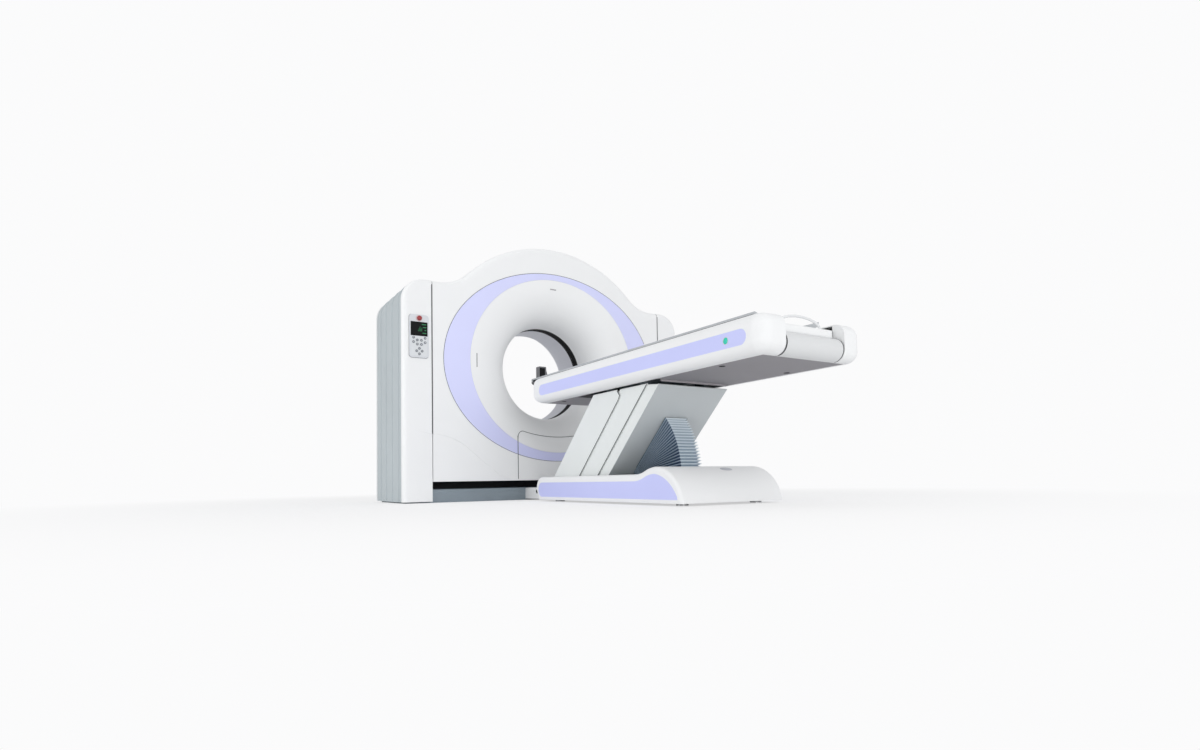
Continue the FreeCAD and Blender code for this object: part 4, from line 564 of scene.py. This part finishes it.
# %% Painted gap shade on the arm covers
LEAN = math.radians(43.5)       # the arm's slope at rest
BACK_BAND = 0.085               # how far in front of the back corner the back edge still counts
BASE_TOP_Z = 0.165              # the base cover hides what is lower
TOP_MARGIN = 0.003              # what is nearer the cover's top than this is its top edge


def ahead(point):
    """How far a point lies square to the arm's slope."""
    return point.y * math.sin(LEAN) + point.z * math.cos(LEAN)


def back_edge(node):
    """Test for the rim of a side face that runs along the cover's back edge."""
    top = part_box(node)[1].z - TOP_MARGIN
    limit = min(ahead(v.co) for v in frame["nodes"][node].data.vertices) + BACK_BAND
    return lambda c: ahead(c) < limit and BASE_TOP_Z < c.z < top


# A line of painted shade runs down the back edge of each side of the two front arm covers.
for node, body in (("arm_cover_front", "front_arm"), ("arm_cover_mid", "mid_cover")):
    for facing, side in (("-x", "left"), ("+x", "right")):
        bm = face_outline(node, facing, ARM_SHADE_LINE, keep=back_edge(node))
        make_piece(bm, f"{node}_{side}_seal", body, "dark_plastic", shade_line)
print("arm shade lines: 4")

# %% Seams of the rear end cap
# The end cap's nose is a half round; a thin dark line of painted shade follows its seam at both ends.
cap_low, cap_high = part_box("end_cover")
NOSE_R = (cap_high.z - cap_low.z) / 2
SEAM_LINE_WIDTH, SEAM_LINE_HALF = 0.004, 0.0008
SEAM_LINE_DEEP, SEAM_LINE_PROUD = 0.002, 0.0006   # how far the dark line lies in the nose and stands out of it
bm = bmesh.new()
for x in (cap_low.x, cap_high.x - SEAM_LINE_WIDTH):
    for v in bm.verts:
        v.tag = True
    block(bm, (x, -SEAM_LINE_HALF, NOSE_R - SEAM_LINE_DEEP), (x + SEAM_LINE_WIDTH, SEAM_LINE_HALF, NOSE_R + SEAM_LINE_PROUD))
    fresh = [v for v in bm.verts if not v.tag]
    bmesh.ops.delete(bm, geom=[f for f in bm.faces if not f.verts[0].tag], context="FACES_ONLY")
    ring = [v for v in fresh if v.co.y > 0]
    loop = [e for e in bm.edges if e.verts[0] in ring and e.verts[1] in ring]
    bmesh.ops.delete(bm, geom=[v for v in fresh if v.co.y < 0], context="VERTS")
    bmesh.ops.spin(bm, geom=ring + loop, cent=(x, 0, 0), axis=(1, 0, 0), angle=math.pi, steps=24,
                   use_merge=False)
bmesh.ops.holes_fill(bm, edges=[e for e in bm.edges if e.is_boundary], sides=4)
nose = Vector((0, cap_low.y + NOSE_R, (cap_low.z + cap_high.z) / 2))
bmesh.ops.translate(bm, vec=nose, verts=bm.verts)
make_piece(bm, "end_cap_shade_lines", "table", "dark_plastic", shade_line)
print("end cap shade lines: 2")

# %% [markdown]
# ## The control panel
# A pale plate carries a red stop button, a black display and the keypad. The plate sits on a
# thin dark sheet, painted shade round its edge, the button on a pink ring, and each key has a
# raised mark, a plain triangle or diamond. The display shows four short bars and a row of upright
# ones. Marks and bars could be a picture laid on the panel; as small solids they stay crisp and also show
# in the exported mesh.

# %% Painted shade round the control panel, and the button collar
# The dark outline is the plate's back face, made a little larger and as thick as a sheet of card: painted
# shade where the plate meets the cover.
SHADE_OUTLINE_GROWTH, SHADE_OUTLINE_THICK = (1.026, 1, 1.012), 0.0012
BACK_MARGIN = 0.0005            # a face this near the plate's rearmost plane is its back
plate_low, plate_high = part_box("control_panel")
plate_middle = (plate_low + plate_high) / 2
bm = bmesh.new()
bm.from_mesh(frame["nodes"]["control_panel"].data)
bmesh.ops.remove_doubles(bm, verts=bm.verts, dist=SAME_POINT)
back_plane = plate_high.y - BACK_MARGIN
away = [f for f in bm.faces if f.normal.y <= 0.99 or f.calc_center_median().y <= back_plane]
bmesh.ops.delete(bm, geom=away, context="FACES")
bmesh.ops.scale(bm, vec=SHADE_OUTLINE_GROWTH, space=Matrix.Translation(-plate_middle), verts=bm.verts)
grown = bmesh.ops.extrude_face_region(bm, geom=list(bm.faces), use_keep_orig=True)["geom"]
bmesh.ops.translate(bm, vec=(0, -SHADE_OUTLINE_THICK, 0), verts=new_verts(grown))
make_piece(bm, "panel_shade_outline", "base", "dark_plastic", pale_gap_shade)

stop_low, stop_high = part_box("emergency_stop")
stop_place = Vector(((stop_low.x + stop_high.x) / 2, plate_low.y, (stop_low.z + stop_high.z) / 2))
COLLAR = [(0.0045, 0), (0.0045, 0.0012), (0.0190, 0.0012), (0.0200, 0.0004), (0.0200, 0)]
bm = bmesh.new()
turned(bm, COLLAR, stop_place, OUT["-y"], 36)
make_piece(bm, "stop_button_collar", "base", "grey_plastic",
           finish_of("warning collar", (0.66, 0.50, 0.50), 0.45, grain=400))
print("panel shade outline and collar")

# %% Key marks and display
KEY_FACE_Y = -0.31855           # front of the raised keys
MARK_R, MARK_DEPTH = 0.0036, 0.0012
KEY_ROWS = [   # height, distance to either side of the middle, sides of the mark
    (1.079, 0.038, 4), (1.050, 0.038, 4), (1.063, 0.0135, 3), (1.036, 0.0135, 4), (0.992, 0.018, 3)]
MIDDLE_KEYS = [(1.009, math.pi / 2), (0.973, -math.pi / 2)]   # height, way the triangle points
marks = [(sign * x, z, sides, 0 if sign > 0 else math.pi) for z, x, sides in KEY_ROWS for sign in (-1, 1)]
marks += [(0, z, 3, turn) for z, turn in MIDDLE_KEYS]
bm = bmesh.new()
for x, z, sides, turn in marks:
    matrix = (Matrix.Translation((stop_place.x + x, KEY_FACE_Y, z)) @ Matrix.Rotation(math.pi / 2, 4, "X")
              @ Matrix.Rotation(turn, 4, "Z"))
    bmesh.ops.create_cone(bm, cap_ends=True, segments=sides, radius1=MARK_R, radius2=MARK_R,
                          depth=MARK_DEPTH, matrix=matrix)
make_piece(bm, "key_marks", "base", "grey_plastic")

glow = finish_of("display glow", (0.01, 0.10, 0.04), 0.5, grain=300, depth=0.00003)
glow_inputs = glow.node_tree.nodes["Principled BSDF"].inputs
glow_inputs["Emission Color"].default_value = (0.01, 0.24, 0.07, 1)
glow_inputs["Emission Strength"].default_value = 0.35
glass_low, glass_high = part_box("display")
BAR_BACK, BAR_FRONT = glass_low.y + 0.0002, glass_low.y - 0.0003
BAR_LENGTHS, BAR_STEP, BAR_HALF = (0.030, 0.022, 0.012, 0.026), 0.019, 0.003
UPRIGHTS, UPRIGHT_STEP, UPRIGHT_WIDTH = 5, 0.006, 0.003
UPRIGHT_LOW, UPRIGHT_RISE = 0.008, 0.006            # height of the lowest one, and the steps between
bar_end, bar_top = glass_high.x - 0.008, glass_high.z - 0.016
upright_start, upright_foot = glass_low.x + 0.048, glass_low.z + 0.030
bm = bmesh.new()
for i, length in enumerate(BAR_LENGTHS):
    z = bar_top - BAR_STEP * i
    block(bm, (bar_end - length, BAR_FRONT, z - BAR_HALF), (bar_end, BAR_BACK, z + BAR_HALF))
for i in range(UPRIGHTS):
    x = upright_start + UPRIGHT_STEP * i
    rise = UPRIGHT_LOW + UPRIGHT_RISE * ((i * 2) % UPRIGHTS)
    block(bm, (x, BAR_FRONT, upright_foot), (x + UPRIGHT_WIDTH, BAR_BACK, upright_foot + rise))
make_piece(bm, "display_bars", "base", "display_glass", glow)
print("key marks:", len(marks), "display bars:", len(BAR_LENGTHS) + UPRIGHTS)

# %% [markdown]
# ## Small fittings
# A round indicator light sits on the blue stripe of each rail, round plugs sit under the table and
# on the sides of the low cover, screws hold the rear cover, and the head support is lined in black.
# Whatever is round is turned from a short profile, which takes a handful of points and is right
# from all sides; whatever is straight is a block.

# %% Indicator lights on the stripes
teal = finish_of("teal lens", (0.01, 0.60, 0.44), 0.2, grain=300, depth=0.00003, coat=0.5)
LIGHT_PLACE = Vector((0.330, -2.438, 0.7295))
LENS = [(0, 0.0022), (0.006, 0.0021), (0.011, 0.0016), (0.0145, 0.0006), (0.0150, 0)]
BEZEL = [(0.0150, 0.0), (0.0152, 0.0012), (0.0166, 0.0010), (0.0172, 0)]
for side, sign, facing in (("left", -1, "-x"), ("right", 1, "+x")):
    place = Vector((sign * LIGHT_PLACE.x, LIGHT_PLACE.y, LIGHT_PLACE.z))
    bm = bmesh.new()
    turned(bm, LENS, place, OUT[facing])
    make_piece(bm, f"indicator_{side}", "table", "laser_lens", teal, smooth=True)
    bm = bmesh.new()
    turned(bm, BEZEL, place, OUT[facing])
    make_piece(bm, f"indicator_{side}_bezel", "table", "grey_plastic", smooth=True)
print("indicator lights: 2")

# %% Plugs under the table and on the low cover
UNDER_Z = 0.650                 # underside of the table
PLUG_X, PLUG_YS, BRIDGE_PLUG = 0.215, (-2.290, -0.79), Vector((0.240, -0.430, 0.0600))
PLUG = [(0, 0.0018), (0.012, 0.0018), (0.0145, 0.0012), (0.0155, 0)]
FLAT_PLUG = [(0, 0.0012), (0.012, 0.0012), (0.014, 0)]
bm = bmesh.new()
for x in (-PLUG_X, PLUG_X):
    for y in PLUG_YS:
        turned(bm, PLUG, Vector((x, y, UNDER_Z)), OUT["-z"], 20)
make_piece(bm, "underside_plugs", "table", "dark_plastic", smooth=True)
bm = bmesh.new()
for sign, facing in ((-1, "-x"), (1, "+x")):
    turned(bm, FLAT_PLUG, Vector((sign * BRIDGE_PLUG.x, *BRIDGE_PLUG.yz)), OUT[facing], 16)
make_piece(bm, "bridge_plugs", "base", "dark_plastic", smooth=True)
print("plugs:", 2 * len(PLUG_YS) + 2)

# %% Brush and apron round the arm's opening, and gaskets round the bore's window
# A brush hangs from the back edge of the opening under the table, a black apron closes the strip
# in front of the arm, black as painted shade of the recess there, and the window in the bore sits
# between two dark gasket rings.
OPENING_BACK, OPENING_FRONT = -1.845, -1.125
BRUSH_HALF, BRUSH_DROP = 0.228, 0.0092  # half its length across, and how far it hangs
BRUSH_BACK, BRUSH_FRONT = OPENING_BACK - 0.004, OPENING_BACK + 0.0065
APRON_HALF, APRON_THICK = 0.245, 0.0015
APRON_BACK, APRON_FRONT = OPENING_FRONT + 0.003, OPENING_FRONT + 0.100
bm = bmesh.new()
block(bm, (-BRUSH_HALF, BRUSH_BACK, UNDER_Z - BRUSH_DROP), (BRUSH_HALF, BRUSH_FRONT, UNDER_Z), bevel=0.0006)
make_piece(bm, "opening_brush", "table", "dark_plastic",
           finish_of("brush hair", (0.40, 0.38, 0.40), 0.8, grain=900, stretch=(1, 0.1, 0.1)))
# The apron's black is painted shade for the dark recess in front of the arm.
bm = bmesh.new()
block(bm, (-APRON_HALF, APRON_BACK, UNDER_Z - APRON_THICK), (APRON_HALF, APRON_FRONT, UNDER_Z), bevel=0.0004)
make_piece(bm, "opening_front_shade_apron", "table", "dark_plastic")
band_low, band_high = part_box("window_band")
bore_middle = Vector((0, 0, (band_low.z + band_high.z) / 2))
BORE_R = 0.350
GASKET_IN, GASKET_OUT = BORE_R - 0.0008, BORE_R + 0.0002
near, far = band_high.y + 0.0005, band_high.y + 0.0135   # its two ends, beside the window's rim
gasket = [(GASKET_IN, near), (GASKET_OUT, near), (GASKET_OUT, far), (GASKET_IN, far), (GASKET_IN, near)]
for side, facing in (("front", "-y"), ("rear", "+y")):
    bm = bmesh.new()
    turned(bm, gasket, bore_middle, OUT[facing], 96)
    make_piece(bm, f"window_gasket_{side}", "gantry", "dark_plastic")
print("opening brush and apron: 2, window gaskets: 2")

# %% Cap on the tail of the base
# An oval grey cap lies on the falling tail of the base cover.
CAP_PLACE, CAP_SLOPE, CAP_STRETCH = Vector((0.062, -2.001, 0.1780)), math.radians(20.5), 1.9
TAIL_CAP = [(0, 0.0014), (0.019, 0.0012), (0.021, 0)]
bm = bmesh.new()
turned(bm, TAIL_CAP, Vector((0, 0, 0)), OUT["+z"], 32)
bmesh.ops.scale(bm, vec=(CAP_STRETCH, 1, 1), verts=bm.verts)
bmesh.ops.rotate(bm, cent=(0, 0, 0), matrix=Matrix.Rotation(CAP_SLOPE, 3, "X"), verts=bm.verts)
bmesh.ops.translate(bm, vec=CAP_PLACE, verts=bm.verts)
make_piece(bm, "base_tail_cap", "base", "grey_plastic",
           finish_of("cap moulding", (0.52, 0.53, 0.58), 0.5, grain=400), smooth=True)
print("tail cap: 1")

# %% Edge strip of the cradle
# A dark strip runs along the lower edge of the cradle's sides: painted shade of the gap between the cradle
# and the rails.
board_low, board_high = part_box("cradle_board")
STRIP_LOW_Z, STRIP_HIGH_Z, STRIP_THICK = 0.8402, 0.8510, 0.0012
strip_start, strip_end = board_low.y + 0.004, board_high.y - 0.070
bm = bmesh.new()
for x in (-board_high.x - STRIP_THICK, board_high.x):
    block(bm, (x, strip_start, STRIP_LOW_Z), (x + STRIP_THICK, strip_end, STRIP_HIGH_Z), bevel=0.0003)
make_piece(bm, "cradle_edge_shade_strips", "cradle", "dark_plastic")
print("cradle strips: 2")

# %% Back of the gantry
# The rear cover is held by screws and breathes through two groups of slots, shown by dark bars of painted
# shade for the hollows of the slots.
BACK_Y = 0.370
SCREW = [(0, 0.0008), (0.003, 0.0008), (0.0034, 0.0022), (0.0072, 0.0020), (0.0080, 0)]
SCREW_PLACES = [(0.885, 0.30), (0.885, 0.80), (0.885, 1.30), (0.50, 1.56), (0.42, 0.24)]
bm = bmesh.new()
for x, z in SCREW_PLACES:
    for sign in (-1, 1):
        turned(bm, SCREW, Vector((sign * x, BACK_Y, z)), OUT["+y"], 20)
make_piece(bm, "rear_cover_screws", "gantry", "bare_steel")
VENT_X, VENT_Z, VENT_STEP, VENT_HEIGHT, VENTS = (0.56, 0.80), 0.27, 0.016, 0.006, 8
VENT_DEEP, VENT_PROUD = 0.0004, 0.0006  # a vent is a dark bar this deep in the cover and proud of it
# Each vent bar is dark as painted shade for the hollow of its slot.
bm = bmesh.new()
for sign in (-1, 1):
    for i in range(VENTS):
        z = VENT_Z + i * VENT_STEP
        ends = sorted(sign * x for x in VENT_X)
        block(bm, (ends[0], BACK_Y - VENT_DEEP, z), (ends[1], BACK_Y + VENT_PROUD, z + VENT_HEIGHT),
              bevel=0.0002)
make_piece(bm, "rear_vent_shade_bars", "gantry", "dark_plastic")
print("rear screws:", 2 * len(SCREW_PLACES), "vents:", 2 * VENTS)

# %% Head support socket
LINING_X, LINING_Z = (-0.1665, -0.1195), (0.876, 0.942)
LINING_Y = (0.0105, 0.0119)     # how far behind the front of the head fitting it lies
fit_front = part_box("head_fitting")[0].y
bm = bmesh.new()
block(bm, (LINING_X[0], fit_front + LINING_Y[0], LINING_Z[0]),
      (LINING_X[1], fit_front + LINING_Y[1], LINING_Z[1]), bevel=0.0004)
make_piece(bm, "head_socket_lining", "cradle", "dark_plastic")
print("socket lining: 1")

# %% [markdown]
# ## Floor, backdrop and light
# The scanner stands in a bright studio whose floor runs up into the wall without a line. The
# floor takes a soft shadow; far from the scanner it fades, for the camera only, into the same
# pale tone as the world. The lamps are broad and gentle, so that the white covers keep their
# shape and don't burn out.

# %% Floor
BACKDROP = (0.965, 0.965, 0.97)
FADE_NEAR, FADE_FAR = 1.6, 4.4   # metres from the scanner between which the floor fades
FADE_BASE = 0.55                 # how far it's already faded beside the scanner
FLOOR_HALF = 40                  # half its length, far past what the camera sees
bm = bmesh.new()
bmesh.ops.create_grid(bm, x_segments=1, y_segments=1, size=FLOOR_HALF)
floor_mesh = bpy.data.meshes.new("floor")
bm.to_mesh(floor_mesh)
bm.free()
floor = bpy.data.objects.new("floor", floor_mesh)
bpy.context.scene.collection.objects.link(floor)
floor_paint = bpy.data.materials.new("floor paint")
floor_paint.use_nodes = True
tree = floor_paint.node_tree
shader = tree.nodes["Principled BSDF"]
shader.inputs["Base Color"].default_value = (0.93, 0.93, 0.93, 1)
shader.inputs["Roughness"].default_value = 0.85
place = tree.nodes.new("ShaderNodeTexCoord")
distance = node_of(tree, "ShaderNodeVectorMath", operation="LENGTH")
fade = node_of(tree, "ShaderNodeMapRange", interpolation_type="SMOOTHSTEP",
               **{"From Min": FADE_NEAR, "From Max": FADE_FAR, "To Min": FADE_BASE})
rays = tree.nodes.new("ShaderNodeLightPath")
share = node_of(tree, "ShaderNodeMath", operation="MULTIPLY")
pale = node_of(tree, "ShaderNodeEmission", Color=(*BACKDROP, 1), Strength=1.0)
mix = tree.nodes.new("ShaderNodeMixShader")
chain(tree, (place, "Object", distance, 0), (distance, "Value", fade, "Value"), (fade, "Result", share, 0),
      (rays, "Is Camera Ray", share, 1), (share, 0, mix, "Fac"), (shader, 0, mix, 1), (pale, 0, mix, 2),
      (mix, 0, tree.nodes["Material Output"], "Surface"))
floor.data.materials.append(floor_paint)
print("floor fades between", FADE_NEAR, "and", FADE_FAR, "m")


# %% Lamps and world
LAMPS = [   # name, place, what it points at, width, height, watts
    ("key light", (-8.0, -0.6, 2.2), (0, -1.2, 0.7), 4.0, 4.0, 118),
    ("front light", (1.5, -14.0, 4.0), (0, -0.8, 0.7), 7.0, 7.0, 262),
    ("top light", (0, -0.5, 5.5), (0, -0.8, 0.8), 4.0, 4.0, 15),
    ("low fill", (-3.5, -12.0, 0.9), (0, -0.6, 0.45), 6.0, 1.5, 150),
]
FELT_COLOUR, FELT_STRENGTH = (0.98, 0.985, 1), 0.74   # what the world gives as light


def soft_box(name, place, target, width, height, watts):
    lamp = bpy.data.lights.new(name, "AREA")
    lamp.shape, lamp.size, lamp.size_y, lamp.energy = "RECTANGLE", width, height, watts
    obj = bpy.data.objects.new(name, lamp)
    bpy.context.scene.collection.objects.link(obj)
    obj.location = place
    obj.visible_camera = False
    obj.rotation_euler = (Vector(target) - Vector(place)).to_track_quat("-Z", "Y").to_euler()


for lamp in LAMPS:
    soft_box(*lamp)

world = bpy.data.worlds.new("studio")
bpy.context.scene.world = world
world.use_nodes = True
tree = world.node_tree
tree.nodes.clear()
rays = tree.nodes.new("ShaderNodeLightPath")
seen = node_of(tree, "ShaderNodeBackground", Color=(*BACKDROP, 1), Strength=1.0)
felt = node_of(tree, "ShaderNodeBackground", Color=(*FELT_COLOUR, 1), Strength=FELT_STRENGTH)
camera_or_glass = node_of(tree, "ShaderNodeMath", operation="MAXIMUM")   # seen directly or through glass
mix = tree.nodes.new("ShaderNodeMixShader")
out = tree.nodes.new("ShaderNodeOutputWorld")
chain(tree, (rays, "Is Camera Ray", camera_or_glass, 0), (rays, "Is Transmission Ray", camera_or_glass, 1),
      (camera_or_glass, 0, mix, "Fac"), (felt, 0, mix, 1), (seen, 0, mix, 2), (mix, 0, out, "Surface"))
bpy.context.scene.view_settings.view_transform = "Standard"
print("lamps:", len(LAMPS))

# %% [markdown]
# ## The end

# %% The end
print("done")
